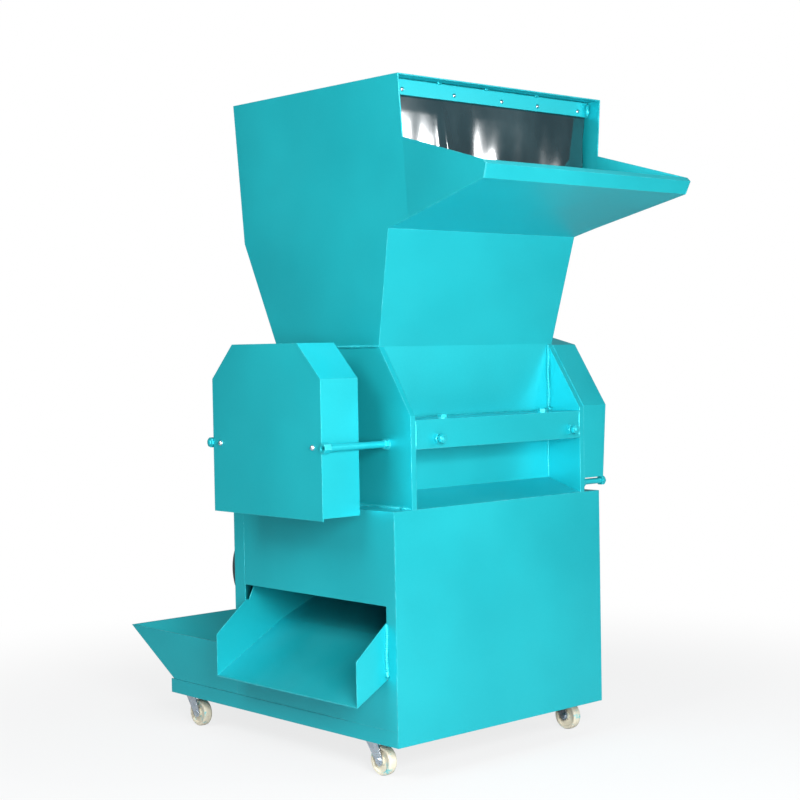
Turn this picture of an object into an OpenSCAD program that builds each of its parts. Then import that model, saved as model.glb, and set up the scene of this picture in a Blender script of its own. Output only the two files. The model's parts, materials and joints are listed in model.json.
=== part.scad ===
// Plastic granulator with a side discharge chute, on four swivel casters.
// Millimetres. +Z is up, -Y is the feeding side, -X is the flywheel side.
// The origin is on the floor, under the middle of the whole machine.

/* [Casters] */
// Diameter of a caster wheel
wheel_d = 75; // [60:5:85]
// Width of a caster wheel tread
wheel_w = 25; // [20:1:32]
// Height from the floor to the face that the caster plates carry
caster_h = 99; // [96:1:130]
// Distance that the axle trails behind the swivel
caster_trail = 28; // [20:1:34]
// Length of a caster plate
caster_plate_len = 90; // [85:1:110]
// Width of a caster plate
caster_plate_w = 58; // [52:1:60]
// Distance from the cabinet side to the swivel
caster_inset = 35; // [33:1:36]

/* [Base cabinet] */
// Width of the base cabinet
base_w = 750; // [740:5:800]
// Depth of the base cabinet
base_d = 650; // [648:1:700]
// Height of the base cabinet with its rails
base_h = 575; // [560:5:640]
// Height of the long rails
rail_h = 39; // [36:1:50]
// Length of the long rails
rail_len = 965; // [955:5:1000]
// Distance that the rail face hangs below the caster plates
rail_drop = 12; // [8:1:16]
// Thickness of the cabinet sheet
sheet = 3; // [2:0.5:4]
// Thickness of the plate on top of the cabinet
top_t = 12; // [8:1:16]

/* [Discharge chute] */
// Distance from the front face to the side opening
outlet_y = 36; // [34:1:50]
// Distance from the side opening to the rear of the cabinet
outlet_back = 44; // [42:1:80]
// Height of the top of the side opening above the floor
outlet_top = 430; // [400:5:460]
// Distance that the chute sticks out of the cabinet side
chute_reach = 98; // [60:2:120]
// Height of the lip of the chute above the floor
chute_lip_z = 199; // [190:1:215]
// Slope of the chute at its mouth, in degrees
chute_angle = 29.3; // [26:0.1:31]
// Height of the wall of the chute at its lip
chute_wall_h = 109; // [80:1:120]
// Height of the wall of the chute where it leaves the cabinet
chute_root_h = 135; // [115:1:150]

/* [Rear trough] */
// Length of the trough behind the cabinet
trough_len = 516; // [480:2:560]
// Length of the flat floor of the trough
trough_floor_len = 300; // [270:2:310]
// Height of the trough
trough_h = 132; // [100:2:160]

/* [Cutting chamber] */
// Width over the two side plates
chamber_w = 632; // [620:2:640]
// Thickness of a side plate
plate_t = 16; // [12:1:20]
// Depth of a side plate
plate_d = 642; // [640:1:646]
// Height of a side plate
plate_h = 400; // [396:1:410]
// Height of the knee of a side plate
plate_knee_h = 229; // [225:1:250]
// Setback of the upper front edge of a side plate
plate_setback = 112; // [100:1:114]
// Height of the knife beam above the cabinet
beam_rise = 147; // [140:1:150]
// Height of the knife beam
beam_h = 72; // [68:1:76]
// Depth of the knife beam
beam_d = 158; // [150:1:160]
// Depth of the recess under the knife beam
recess_d = 116; // [100:1:118]
// Rise of the sloping floor of the recess
recess_rise = 36; // [20:1:50]
// Thickness of the apron plate
apron_t = 5; // [4:1:8]

/* [Rotor] */
// Height of the rotor axis above the cabinet
rotor_rise = 200; // [198:1:202]
// Radius of the circle that the knife tips cut
cut_r = 150; // [146:1:151]
// Gap between the knife tips and the fixed knives
knife_gap = 1; // [0.6:0.1:1.5]
// Radius of the middle of the rotor shaft
shaft_r = 45; // [40:1:50]
// Radius of the shaft in the bearings
journal_r = 35; // [30:1:38]
// Radius of the shaft in the flywheel and pulley
seat_r = 30; // [24:1:34]
// Number of rotor discs
disc_count = 5; // [3:1:6]
// Number of knives round the rotor
knife_count = 3; // [2:1:4]
// Thickness of a rotor knife
knife_t = 16; // [12:1:18]
// Depth of a rotor knife
knife_d = 62; // [54:1:64]
// Radius of the flywheel
flywheel_r = 200; // [180:1:203]
// Width of the flywheel
flywheel_w = 70; // [50:1:74]

/* [Screen] */
// Gap between the knife tips and the screen
screen_gap = 8; // [6:1:9]
// Thickness of the screen
screen_t = 5; // [4:0.5:6]
// Depth of the ribs of the screen cradle
cradle_d = 17; // [12:1:18]
// Diameter of a hole in the screen
screen_hole_d = 14; // [10:1:16]

/* [Hopper] */
// Height of the hopper
hopper_h = 651; // [640:1:700]
// Width of the hopper at its top
hopper_top_w = 734; // [700:2:760]
// Distance from the cabinet front to the rear of the hopper
hopper_d = 625; // [610:1:640]
// Height of the vertical rear wall
hopper_rear_h = 368; // [340:2:400]
// Distance that the hood stands in front of the cabinet
hood_reach = 30; // [20:1:40]
// Height of the front edge of the hood
hood_h = 151; // [140:1:170]
// Thickness of the hopper sheet
hopper_t = 3; // [2:0.5:4]

/* [Feed tray] */
// Distance that the tray stands in front of the cabinet
tray_reach = 325; // [280:5:360]
// Height of the tray root above the bottom of the hopper
tray_root_h = 288; // [270:2:300]
// Distance from the cabinet front to the tray root
tray_root_y = 44; // [36:1:50]
// Height of the underside of the tray lip above the bottom of the hopper
tray_lip_h = 376; // [360:1:390]
// Height of the lip band
lip_band_h = 32; // [24:1:36]
// Distance that the lip band leans out
lip_lean = 13; // [8:1:16]
// Width that the tray gains on each side towards its lip
tray_flare = 23; // [0:1:26]

/* [Curtain] */
// Height of the clamp bar
clamp_h = 40; // [30:1:44]
// Distance from the cabinet front to the clamp bar
clamp_y = 9; // [4:1:14]
// Thickness of the clamp bar
clamp_t = 4; // [3:0.5:5]
// Length of the curtain below the clamp bar
curtain_len = 286; // [240:2:292]
// Thickness of the curtain
curtain_t = 3; // [2:0.5:4]
// Depth of the waves at the lower edge of the curtain
wave_depth = 7; // [2:0.5:9]

/* [Guards] */
// Gap between the side plate and the flywheel guard
guard_gap = 81; // [76:1:84]
// Width of the flywheel guard
guard_w = 118; // [114:1:125]
// Length of the flywheel guard
guard_len = 440; // [436:2:460]
// Height of the flywheel guard above the rotor axis
guard_up = 212; // [210:1:225]
// Distance from the rotor axis to the lower edge of the flywheel guard
guard_down = 218; // [208:1:230]
// Length of the chamfers of the flywheel guard
guard_chamfer = 88; // [70:1:90]
// Width of the belt guard at its knee
belt_guard_w = 91; // [86:1:95]
// Width that the belt guard loses towards its lower edge
belt_guard_taper = 14; // [8:1:15]
// Height of the lower edge of the belt guard above the cabinet
belt_guard_rise = 37; // [34:1:37]
// Radius of a guard rod
rod_r = 9; // [7:0.5:10]

/* [Drive] */
// Distance from the cabinet to the motor axis
motor_back = 130; // [128:1:140]
// Height of the motor axis above the floor
motor_z = 430; // [420:2:440]
// Radius of the motor body
motor_r = 112; // [100:1:114]
// Length of the motor body
motor_len = 330; // [300:5:340]
// Pitch radius of the rotor pulley
rotor_pulley_r = 155; // [150:1:156]
// Pitch radius of the motor pulley
motor_pulley_r = 60; // [55:1:64]
// Number of belts
belt_count = 2; // [1:1:2]

/* [Control box] */
// Width of the control box along the cabinet
box_w = 280; // [240:5:300]
// Height of the control box
box_h = 300; // [260:5:320]
// Depth of the control box
box_d = 116; // [100:1:130]
// Distance from the cabinet front to the control box
box_y = 180; // [175:5:200]
// Height of the lower face of the control box above the floor
box_z = 250; // [240:5:280]

/* [Hidden] */
$fn = 48;
paint = "darkturquoise";
steel = "silver";

// Named clearances
seat_gap = 0.3;
pin_play = 0.1;
run_gap = 1;
overrun = 2;

// Outer limits and the origin
trough_end = base_d + trough_len;
estop_reach = 28.7;
door_t = 3;
rod_out = 8;
left_reach = chamber_w / 2 + guard_gap + guard_w + rod_out;
right_reach = base_w / 2 + box_d + door_t + estop_reach + seat_gap;
shift_x = (left_reach - right_reach) / 2;
shift_y = (tray_reach - trough_end) / 2;

// Base cabinet
base_z = caster_h - rail_drop;
top_z = base_z + base_h;
rail_top = base_z + rail_h;
base_x = base_w / 2;
outlet_w = base_d - outlet_y - outlet_back;
web_t = 4;
rail_w = caster_plate_w + 2 * web_t;
post_w = 30;
seam_h = 1.2;
seam_y = 198;
chute_end_gap = 65;
chute_end_drop = 90;
belt_slot_y = 250;
belt_slot_z = 330;

// Cutting chamber
chamber_x = chamber_w / 2;
inner_x = chamber_x - plate_t;
knee_z = top_z + plate_knee_h;
plate_top = top_z + plate_h;
rotor_y = plate_d / 2;
rotor_z = top_z + rotor_rise;
beam_z = top_z + beam_rise;
beam_top = beam_z + beam_h;
knife_slot_z = beam_z + beam_h / 4;
fixed_knife_t = 16;
fixed_knife_y = 40;
ledge_step = 4;
ridge_t = 12;
ridge_h = 14;
bolt_head_r = 14;
jack_r = 7;
jack_nut_h = 10;
jack_gap = 4;
jack_end = 1.5;
rear_wall_t = 6;
shaft_room = 8;
wall_gap = 3;
throat_y = plate_setback + apron_t + seat_gap;
throat_d = plate_d - 2 * throat_y;

// Rotor
arm_w = 56;
disc_t = 30;
disc_gap = 24;
disc_hub_t = 25;
disc_clear = 12;
collar_gap = 10;
disc_span = 2 * (inner_x - disc_gap);
knife_len = disc_span;
housing_r = 74;
housing_w = 56;
housing_bolt_r = 63.6;
flywheel_inset = 15;
flywheel_x = -chamber_x - guard_gap - flywheel_inset;
pulley_gap = 20;
pulley_x = chamber_x + pulley_gap;
belt_room = 6;
slot_x0 = pulley_x - belt_room;
belt_pitch = 15;
belt_top_w = 12.7;
belt_d = 8;
belt_low_w = 8;
groove_edge = 2;
pulley_w = belt_pitch * belt_count + 2 * groove_edge;
belt_x = [for (i = [0 : belt_count - 1]) pulley_x + groove_edge + belt_pitch * (i + 0.5)];

// Screen
screen_r = cut_r + screen_gap;
cradle_r = screen_r + screen_t + cradle_d;
screen_low_angle = 23;
cradle_gap = 4;
cradle_pin_r = 10;
cradle_pin_reach = 179;
cradle_pin_drop = 92;
cradle_pin_y = rotor_y + cradle_pin_reach;
cradle_pin_z = rotor_z - cradle_pin_drop;
cradle_lug_r = 18;
pin_head_t = 6;
pin_head_lip = 5;
rib_t = 12;
bar_shares = [0.03, 0.5, 0.97];

// Hopper
hopper_z = plate_top;
hopper_top = hopper_z + hopper_h;
hopper_lean = atan((hopper_top_w / 2 - chamber_x) / hopper_h);
lean_share = tan(hopper_lean);
tray_lip_z = hopper_z + tray_lip_h;
tray_root_z = hopper_z + tray_root_h;
hood_z = hopper_top - hood_h;
hopper_kink_z = hopper_top - hopper_rear_h;
hopper_foot_reach = 198;
hopper_foot_y = rotor_y + hopper_foot_reach;
tray_tip_y = -tray_reach + lip_lean;
lip_hem = 10;
cheek_top_z = tray_lip_z + lip_band_h + lip_hem;
hopper_side_t = hopper_t / cos(hopper_lean);

// Curtain
curtain_y = clamp_y + clamp_t;
curtain_top = hopper_top - hopper_t - clamp_h;
curtain_side_gap = 7;
screw_r = 5.5;
screw_shares = [-0.88, -0.393, 0.078, 0.449, 0.887];

// Guards
guard_x = -chamber_x - guard_gap;
guard_out_x = guard_x - guard_w;
guard_y0 = rotor_y - guard_len / 2;
guard_y1 = rotor_y + guard_len / 2;
guard_top = rotor_z + guard_up;
guard_bottom = rotor_z - guard_down;
rod_drop = 41;
rod_z = rotor_z - rod_drop;
bush_r = 13.5;
bush_flat = bush_r * cos(30);
nut_h = 13;
front_rod_y = guard_y0 - bush_flat - seat_gap;
rear_rod_y = guard_y1 + bush_flat + seat_gap;
belt_guard_z = top_z + belt_guard_rise;
belt_guard_step = 3;
belt_guard_over = 20;
belt_guard_knee = knee_z + belt_guard_step;
belt_guard_top = plate_top + belt_guard_over;
belt_guard_crown = 23;
guard_room = 18;
belt_guard_x = chamber_x + belt_guard_w;
belt_rod_r = 8;
belt_rod_y = 13.5;
belt_rod_z = belt_guard_z - bush_flat - seat_gap;

// Drive
foot_t = 8;
motor_y = base_d + motor_back;
motor_x0 = -200;
cowl_len = 110;
cowl_gap = 8;
cowl_r = motor_r + cowl_gap;
cowl_t = 2;
motor_socket = 60;
shaft_end = 4;
lead_box_w = 110;
lead_box_h = 60;
lead_box_back = 190;
lead_lid_over = 2;
lead_lid_t = 5;
motor_shaft_r = 19;
motor_face_x = motor_x0 + cowl_len + motor_len;

// Control box
box_x = base_x + box_d;
door_x = box_x + seat_gap;
button_r = 11;
button_h = 9;
button_stem = 8;
button_collar_t = 4;
button_lip = 3;
estop_r = 20;
estop_cap_h = 12;
estop_seat = 2;
estop_edge = 2;
estop_dome = 6;
knob_plate_t = 7;
knob_grip_h = 12;
knob_grip_w = 10;
hinge_r = 5;
knuckle_h = 20;
gland_nut_t = 8;
gland_nut_r = 13;
gland_cap_h = 14;
gland_cap_r = 11;
gland_thread_r = 8;
gland_thread_in = 10;
gland_bore_r = 5;

// Casters
swivel_x = base_x - caster_inset;
front_swivel_y = 122;
rear_swivel_y = 900;
fork_t = 3;
fork_gap = 1.5;
fork_w = wheel_w + 2 * (fork_gap + fork_t);
caster_plate_t = 3;
race_h = 12;
race_r = 24;
kingpin_r = 6;
kingpin_tail = 6;
kingpin_head_t = 3;
kingpin_lip = 4;
fork_drop = 4;
leg_half_w = 11;
leg_rise = 10;
leg_end_r = 12;
axle_r = 5;
axle_lip = 3;
axle_end_t = 3;
axle_nut_t = 5;
hub_wall = 7;
tread_round = 3;
tread_crown = 0.8;

// Places a piece of the machine in the frame of the whole part
module placed() {
    translate([shift_x, shift_y, 0]) children();
}

// Block between two corners
module block(x0, x1, y0, y1, z0, z1) {
    translate([x0, y0, z0]) cube([x1 - x0, y1 - y0, z1 - z0]);
}

// Outline in Y and Z, drawn out along X
module along_x(x0, x1) {
    translate([x0, 0, 0]) rotate([90, 0, 90]) linear_extrude(x1 - x0) children();
}

// Outline in X and Z, drawn out along Y
module along_y(y0, y1) {
    translate([0, y1, 0]) rotate([90, 0, 0]) linear_extrude(y1 - y0) children();
}

// Round bar along X
module bar_x(x0, x1, y, z, r) {
    translate([x0, y, z]) rotate([0, 90, 0]) cylinder(h = x1 - x0, r = r);
}

// Round bar along Y
module bar_y(y0, y1, x, z, r) {
    translate([x, y1, z]) rotate([90, 0, 0]) cylinder(h = y1 - y0, r = r);
}

// Six-sided nut or head along X
module hex_x(x0, x1, y, z, r) {
    translate([x0, y, z]) rotate([0, 90, 0]) cylinder(h = x1 - x0, r = r, $fn = 6);
}

// Six-sided nut or head along Y
module hex_y(y0, y1, x, z, r) {
    translate([x, y1, z]) rotate([90, 0, 0]) cylinder(h = y1 - y0, r = r, $fn = 6);
}

// Both halves of a piece that is the same on the left and the right
module both_sides() {
    children();
    mirror([1, 0, 0]) children();
}

// The same shape in front of and behind the rotor axis
module both_ends() {
    children();
    translate([0, 2 * rotor_y, 0]) mirror([0, 1, 0]) children();
}

// Half of the inner width of the hopper at a height
function hopper_in(z) = chamber_x - hopper_side_t + (z - hopper_z) * lean_share;

// Two long rails, three cross tubes and four corner posts
module base_frame() {
    cross_h = rail_top - caster_h - web_t;
    placed() color(paint) {
        both_sides() {
            along_y(sheet, rail_len) polygon([[-base_x, base_z], [-base_x + web_t, base_z],
                [-base_x + web_t, caster_h], [-base_x + rail_w, caster_h], [-base_x + rail_w, rail_top],
                [-base_x + rail_w - web_t, rail_top], [-base_x + rail_w - web_t, caster_h + web_t],
                [-base_x + web_t, caster_h + web_t], [-base_x + web_t, rail_top], [-base_x, rail_top]]);
            for (y = [sheet, base_d - sheet - post_w])
                translate([-base_x + rail_w, y, rail_top])
                    cube([post_w, post_w, top_z - top_t - rail_top]);
        }
        for (y = [sheet, base_d - sheet - post_w, rail_len - post_w])
            difference() {
                block(-base_x + rail_w, base_x - rail_w, y, y + post_w, caster_h, rail_top);
                block(-base_x, base_x, y + web_t, y + post_w - web_t, caster_h + web_t, rail_top - web_t);
            }
    }
}

// Front sheet of the cabinet, down to the lower edge of the rails
module base_front_panel() {
    placed() color(paint) block(-base_x, base_x, 0, sheet, base_z, top_z);
}

// Left sheet of the cabinet with the side opening, the fold lines and the seam over the rail
module base_left_panel() {
    groove = 0.8;
    placed() color(paint) difference() {
        block(-base_x, -base_x + sheet, sheet, base_d, rail_top, top_z);
        block(-base_x - overrun, -base_x + sheet + overrun, outlet_y - seat_gap,
            outlet_y + outlet_w + seat_gap, chute_floor_z(-base_x) - sheet * 2, outlet_top);
        block(-base_x - overrun, -base_x + groove, outlet_y + outlet_w - groove,
            outlet_y + outlet_w + groove, outlet_top, top_z + overrun);
        block(-base_x - overrun, -base_x + groove, seam_y, base_d + overrun, rail_top - overrun,
            rail_top + seam_h);
    }
}

// Right sheet of the cabinet
module base_right_panel() {
    placed() color(paint) block(base_x - sheet, base_x, sheet, base_d, rail_top, top_z);
}

// Rear sheet of the cabinet with the notch for the belts
module base_rear_panel() {
    placed() color(paint) difference() {
        block(-base_x + sheet, base_x - sheet, base_d - sheet, base_d, rail_top, top_z);
        block(slot_x0, base_x, base_d - sheet - overrun, base_d + overrun, belt_slot_z, top_z + overrun);
    }
}

// Thick plate that carries the cutting chamber, with its throat and the notch for the belts
module base_top_plate() {
    placed() color(paint) difference() {
        block(-base_x + sheet, base_x - sheet, sheet, base_d - sheet, top_z - top_t, top_z);
        block(-inner_x, inner_x, throat_y, throat_y + throat_d, top_z - top_t - overrun, top_z + overrun);
        block(slot_x0, base_x, belt_slot_y, base_d, top_z - top_t - overrun, top_z + overrun);
    }
}

// Height of the chute floor at a place across the cabinet
function chute_floor_z(x) = chute_lip_z + (x + base_x + chute_reach) * tan(chute_angle);

// Sloping floor and two side walls that lead the granules out on the left
module discharge_chute() {
    lip_x = -base_x - chute_reach;
    kink_x = -base_x + base_w / 6;
    end_x = base_x - chute_end_gap;
    end_z = top_z - top_t - chute_end_drop;
    wall_top = top_z - top_t - seat_gap;
    floor_h = sheet / cos(chute_angle);
    root_z = chute_floor_z(-base_x);
    placed() color(paint) {
        along_y(outlet_y, outlet_y + outlet_w) polygon([[lip_x, chute_lip_z], [kink_x, chute_floor_z(kink_x)],
            [end_x, end_z], [end_x, end_z - floor_h], [kink_x, chute_floor_z(kink_x) - floor_h],
            [lip_x, chute_lip_z - floor_h]]);
        for (y = [outlet_y, outlet_y + outlet_w - sheet])
            along_y(y, y + sheet) polygon([[lip_x, chute_lip_z - floor_h],
                [lip_x, chute_lip_z + chute_wall_h], [-base_x, root_z + chute_root_h],
                [-base_x + sheet * 4, root_z + chute_root_h], [kink_x, wall_top], [end_x, wall_top],
                [end_x, end_z - floor_h], [kink_x, chute_floor_z(kink_x) - floor_h]]);
        block(end_x, end_x + sheet, outlet_y, outlet_y + outlet_w, end_z - floor_h, wall_top);
    }
}

// Open pan behind the cabinet with a sloping rear wall
module rear_trough() {
    y1 = base_d + trough_floor_len;
    slope = atan(trough_h / (trough_end - y1));
    wall_run = sheet / sin(slope);
    placed() color(paint) difference() {
        along_x(-base_x, base_x) polygon([[base_d, rail_top], [y1, rail_top],
            [trough_end, rail_top + trough_h], [base_d, rail_top + trough_h]]);
        along_x(-base_x + sheet, base_x - sheet) polygon([[base_d + sheet, rail_top + sheet],
            [y1 - sheet * tan(slope / 2), rail_top + sheet],
            [trough_end - wall_run + overrun / tan(slope), rail_top + trough_h + overrun],
            [base_d + sheet, rail_top + trough_h + overrun]]);
        block(-base_x - overrun, -base_x + seam_h, base_d - overrun, rail_len, rail_top - overrun,
            rail_top + seam_h);
    }
}

// Thick side plate of the cutting chamber, for the left side
module side_plate() {
    difference() {
        along_x(-chamber_x, -inner_x) polygon([[0, top_z], [0, knee_z], [plate_setback, plate_top],
            [plate_d - plate_setback, plate_top], [plate_d, knee_z], [plate_d, top_z]]);
        bar_x(-chamber_x - overrun, -inner_x + overrun, rotor_y, rotor_z, journal_r + shaft_room);
        bar_x(-chamber_x - overrun, -inner_x + overrun, cradle_pin_y, cradle_pin_z, cradle_pin_r);
    }
}

module left_side_plate() {
    placed() color(paint) side_plate();
}

module right_side_plate() {
    placed() color(paint) mirror([1, 0, 0]) side_plate();
}

// Bent plate that closes the recess under the knife beam
module front_apron() {
    bevel = apron_t * recess_d / recess_rise;
    placed() color(paint) along_x(-inner_x, inner_x) polygon([[0, top_z], [recess_d, top_z + recess_rise],
        [recess_d, beam_z], [recess_d + apron_t, beam_z], [recess_d + apron_t, top_z + recess_rise - apron_t],
        [bevel, top_z]]);
}

// Lower rear wall of the cutting chamber
module rear_wall() {
    y0 = plate_d - recess_d;
    placed() color(paint) block(-inner_x, inner_x, y0, y0 + rear_wall_t, top_z, beam_z);
}

// Heavy beam that carries a fixed knife, with a ridge behind the hopper wall that stands at wall_y
module knife_beam(wall_y) {
    slot_top = knife_slot_z + fixed_knife_t + seat_gap;
    ridge_y = wall_y + hopper_t + seat_gap;
    along_x(-inner_x, inner_x) polygon([[0, beam_z], [beam_d, beam_z], [beam_d, knife_slot_z],
        [fixed_knife_y - run_gap, knife_slot_z], [fixed_knife_y - run_gap, slot_top], [beam_d, slot_top],
        [beam_d, beam_top - ledge_step], [ridge_y + ridge_t, beam_top - ledge_step],
        [ridge_y + ridge_t, beam_top + ridge_h], [ridge_y, beam_top + ridge_h], [ridge_y, beam_top],
        [0, beam_top]]);
}

module front_knife_beam() {
    placed() color(paint) knife_beam(plate_setback);
}

module rear_knife_beam() {
    placed() color(paint) translate([0, plate_d, 0]) mirror([0, 1, 0])
        knife_beam(plate_d - hopper_foot_y);
}

// Fixed knives in the slots of the two beams, with a ground bevel
module fixed_knives() {
    tip_y = rotor_y - cut_r - knife_gap;
    placed() color(steel) both_ends()
        along_x(-inner_x + run_gap, inner_x - run_gap) polygon([[fixed_knife_y, knife_slot_z],
            [tip_y - fixed_knife_t, knife_slot_z], [tip_y, knife_slot_z + fixed_knife_t],
            [fixed_knife_y, knife_slot_z + fixed_knife_t]]);
}

// Jack bolts in the face of the front beam and clamp bolts on both ledges
module knife_bolts() {
    jack_shares = [-0.757, 0.87];
    clamp_shares = [-0.65, 0.57];
    z = beam_z + beam_h / 3;
    placed() color(paint) {
        for (share = jack_shares) {
            x = share * inner_x;
            hex_y(-jack_nut_h, 0, x, z, bolt_head_r);
            hex_y(-2 * jack_nut_h - jack_gap, -jack_nut_h - jack_gap, x, z, bolt_head_r - jack_end);
            bar_y(-jack_nut_h - jack_gap, -jack_nut_h, x, z, jack_r);
            bar_y(-2 * jack_nut_h - jack_gap - jack_end, -2 * jack_nut_h - jack_gap, x, z, jack_r);
        }
        both_ends() for (share = clamp_shares)
            translate([share * inner_x, bolt_head_r + jack_end, beam_top])
                cylinder(h = jack_nut_h, r = bolt_head_r, $fn = 6);
    }
}

// Space between the leaning sides of the hopper, wider towards the lip in front of the hood
module hopper_width(inset) {
    z0 = hopper_z - (inset > 0 ? overrun : 0);
    z1 = hopper_top + (inset > 0 ? overrun : 0);
    w0 = chamber_x - inset + (z0 - hopper_z) * lean_share;
    w1 = chamber_x - inset + (z1 - hopper_z) * lean_share;
    y0 = -tray_reach - overrun;
    wide = (-hood_reach - y0) * tray_flare / (tray_reach - hood_reach);
    along_y(-hood_reach, hopper_d + overrun) polygon([[-w0, z0], [w0, z0], [w1, z1], [-w1, z1]]);
    polyhedron([[-w0, -hood_reach, z0], [w0, -hood_reach, z0], [w1, -hood_reach, z1], [-w1, -hood_reach, z1],
        [-w0 - wide, y0, z0], [w0 + wide, y0, z0], [w1 + wide, y0, z1], [-w1 - wide, y0, z1]],
        [[0, 1, 2, 3], [7, 6, 5, 4], [0, 4, 5, 1], [1, 5, 6, 2], [2, 6, 7, 3], [3, 7, 4, 0]]);
}

// Feed hopper: leaning sides with the tray cheeks, hood, rear wall and the walls down to the beams
module hopper_shell() {
    foot_z = beam_top + wall_gap;
    foot_w = inner_x - seat_gap;
    reach = base_w;
    front_t = hopper_t * norm([plate_setback - tray_root_y, tray_root_h]) / tray_root_h;
    rear_run = (hopper_d - hopper_foot_y) / (hopper_kink_z - hopper_z);
    rear_t = hopper_t * norm([1, rear_run]);
    front_run = (plate_setback - tray_root_y) / tray_root_h;
    placed() color(paint) {
        difference() {
            intersection() {
                along_x(-reach, reach) polygon([[plate_setback, hopper_z], [tray_root_y, tray_root_z],
                    [tray_tip_y, tray_lip_z], [-tray_reach, tray_lip_z + lip_band_h],
                    [-tray_reach + lip_hem, cheek_top_z], [-hood_reach, hood_z], [-hood_reach, hopper_top],
                    [hopper_d, hopper_top], [hopper_d, hopper_kink_z], [hopper_foot_y, hopper_z]]);
                hopper_width(0);
            }
            intersection() {
                along_x(-reach, reach) polygon([[plate_setback + front_t + overrun * front_run,
                    hopper_z - overrun], [tray_root_y + front_t, tray_root_z],
                    [-tray_reach - overrun, tray_root_z], [-tray_reach - overrun, hopper_top - hopper_t],
                    [hopper_d - hopper_t, hopper_top - hopper_t], [hopper_d - hopper_t, hopper_kink_z],
                    [hopper_foot_y - rear_t - overrun * rear_run, hopper_z - overrun]]);
                hopper_width(hopper_side_t);
            }
        }
        block(-foot_w, foot_w, plate_setback, plate_setback + hopper_t, foot_z, hopper_z);
        block(-foot_w, foot_w, hopper_foot_y - hopper_t, hopper_foot_y, foot_z, hopper_z);
    }
}

// Floor of the tray and its raised lip, between the two cheeks
module feed_tray() {
    reach = base_w;
    fall = (tray_lip_h - tray_root_h) / (tray_root_y - tray_tip_y);
    floor_t = hopper_t * norm([1, fall]);
    bend = hopper_t * sqrt(0.5);
    placed() color(paint) intersection() {
        along_x(-reach, reach) polygon([[tray_root_y, tray_root_z], [tray_tip_y, tray_lip_z],
            [-tray_reach, tray_lip_z + lip_band_h], [-tray_reach + lip_hem, cheek_top_z],
            [-tray_reach + lip_hem + bend, cheek_top_z - bend],
            [-tray_reach + hopper_t + bend / 2, tray_lip_z + lip_band_h - bend / 2],
            [tray_tip_y + bend, tray_lip_z + floor_t], [tray_root_y, tray_root_z + floor_t]]);
        hopper_width(hopper_side_t + seat_gap);
    }
}

// Clamp bar in front of the curtain and the angle that carries it under the hood
module curtain_clamp() {
    bar_w = hopper_in(curtain_top) - curtain_t;
    back_y = curtain_y + curtain_t;
    lower = hopper_top - hopper_t - clamp_t / 2;
    top = hopper_top - hopper_t;
    placed() color(paint) {
        block(-bar_w, bar_w, clamp_y, clamp_y + clamp_t, curtain_top, lower);
        block(-bar_w, bar_w, back_y, back_y + clamp_t, curtain_top, top);
        block(-bar_w, bar_w, clamp_y + clamp_t, back_y, curtain_top, lower);
        block(-bar_w, bar_w, back_y, back_y + clamp_h, top - clamp_t, top);
    }
}

// Round-head screws along the clamp bar
module curtain_screws() {
    z = curtain_top + clamp_h / 3;
    placed() color(steel) for (share = screw_shares)
        translate([share * hopper_in(curtain_top), clamp_y, z]) rotate([90, 0, 0])
        difference() {
            intersection() {
                cylinder(h = screw_r, r = screw_r);
                translate([0, 0, -screw_r * 0.45]) sphere(r = screw_r * 1.1);
            }
            translate([-screw_r, -screw_r / 9, screw_r * 0.4]) cube([2 * screw_r, screw_r / 4.5, screw_r]);
        }
}

// Flexible sheet that hangs from the clamp bar, with waves that deepen towards its lower edge
module curtain() {
    columns = 36;
    rows = 6;
    waves = 4.5;
    hang_gap = 0.5;
    hang = curtain_len - hang_gap;
    function thick(v) = v == 0 ? hang_gap : curtain_t;
    function wave_y(u, v) = wave_depth * v
        * (0.7 * sin(360 * waves * u) + 0.3 * sin(360 * 1.7 * waves * u + 60));
    function half_w(v) = hopper_in(curtain_top - v * curtain_len) - curtain_side_gap;
    points = [for (side = [0, 1]) for (r = [0 : rows]) for (c = [0 : columns])
        let (u = c / columns, v = r / rows)
        [(2 * u - 1) * half_w(v), curtain_y + curtain_t / 2 + (side - 0.5) * thick(v) + wave_y(u, v),
            curtain_top - hang_gap - v * hang]];
    n = columns + 1;
    m = n * (rows + 1);
    function at(side, r, c) = side * m + r * n + c;
    faces = concat(
        [for (r = [0 : rows - 1]) for (c = [0 : columns - 1]) [at(0, r, c), at(0, r, c + 1), at(0, r + 1, c)]],
        [for (r = [0 : rows - 1]) for (c = [0 : columns - 1])
            [at(0, r, c + 1), at(0, r + 1, c + 1), at(0, r + 1, c)]],
        [for (r = [0 : rows - 1]) for (c = [0 : columns - 1]) [at(1, r, c), at(1, r + 1, c), at(1, r, c + 1)]],
        [for (r = [0 : rows - 1]) for (c = [0 : columns - 1])
            [at(1, r, c + 1), at(1, r + 1, c), at(1, r + 1, c + 1)]],
        [for (c = [0 : columns - 1]) [at(0, 0, c), at(1, 0, c), at(0, 0, c + 1)]],
        [for (c = [0 : columns - 1]) [at(0, 0, c + 1), at(1, 0, c), at(1, 0, c + 1)]],
        [for (c = [0 : columns - 1]) [at(0, rows, c), at(0, rows, c + 1), at(1, rows, c)]],
        [for (c = [0 : columns - 1]) [at(0, rows, c + 1), at(1, rows, c + 1), at(1, rows, c)]],
        [for (r = [0 : rows - 1]) [at(0, r, 0), at(0, r + 1, 0), at(1, r, 0)]],
        [for (r = [0 : rows - 1]) [at(0, r + 1, 0), at(1, r + 1, 0), at(1, r, 0)]],
        [for (r = [0 : rows - 1]) [at(0, r, columns), at(1, r, columns), at(0, r + 1, columns)]],
        [for (r = [0 : rows - 1]) [at(0, r + 1, columns), at(1, r, columns), at(1, r + 1, columns)]]);
    placed() color("slategray") polyhedron(points, faces);
}

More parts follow.
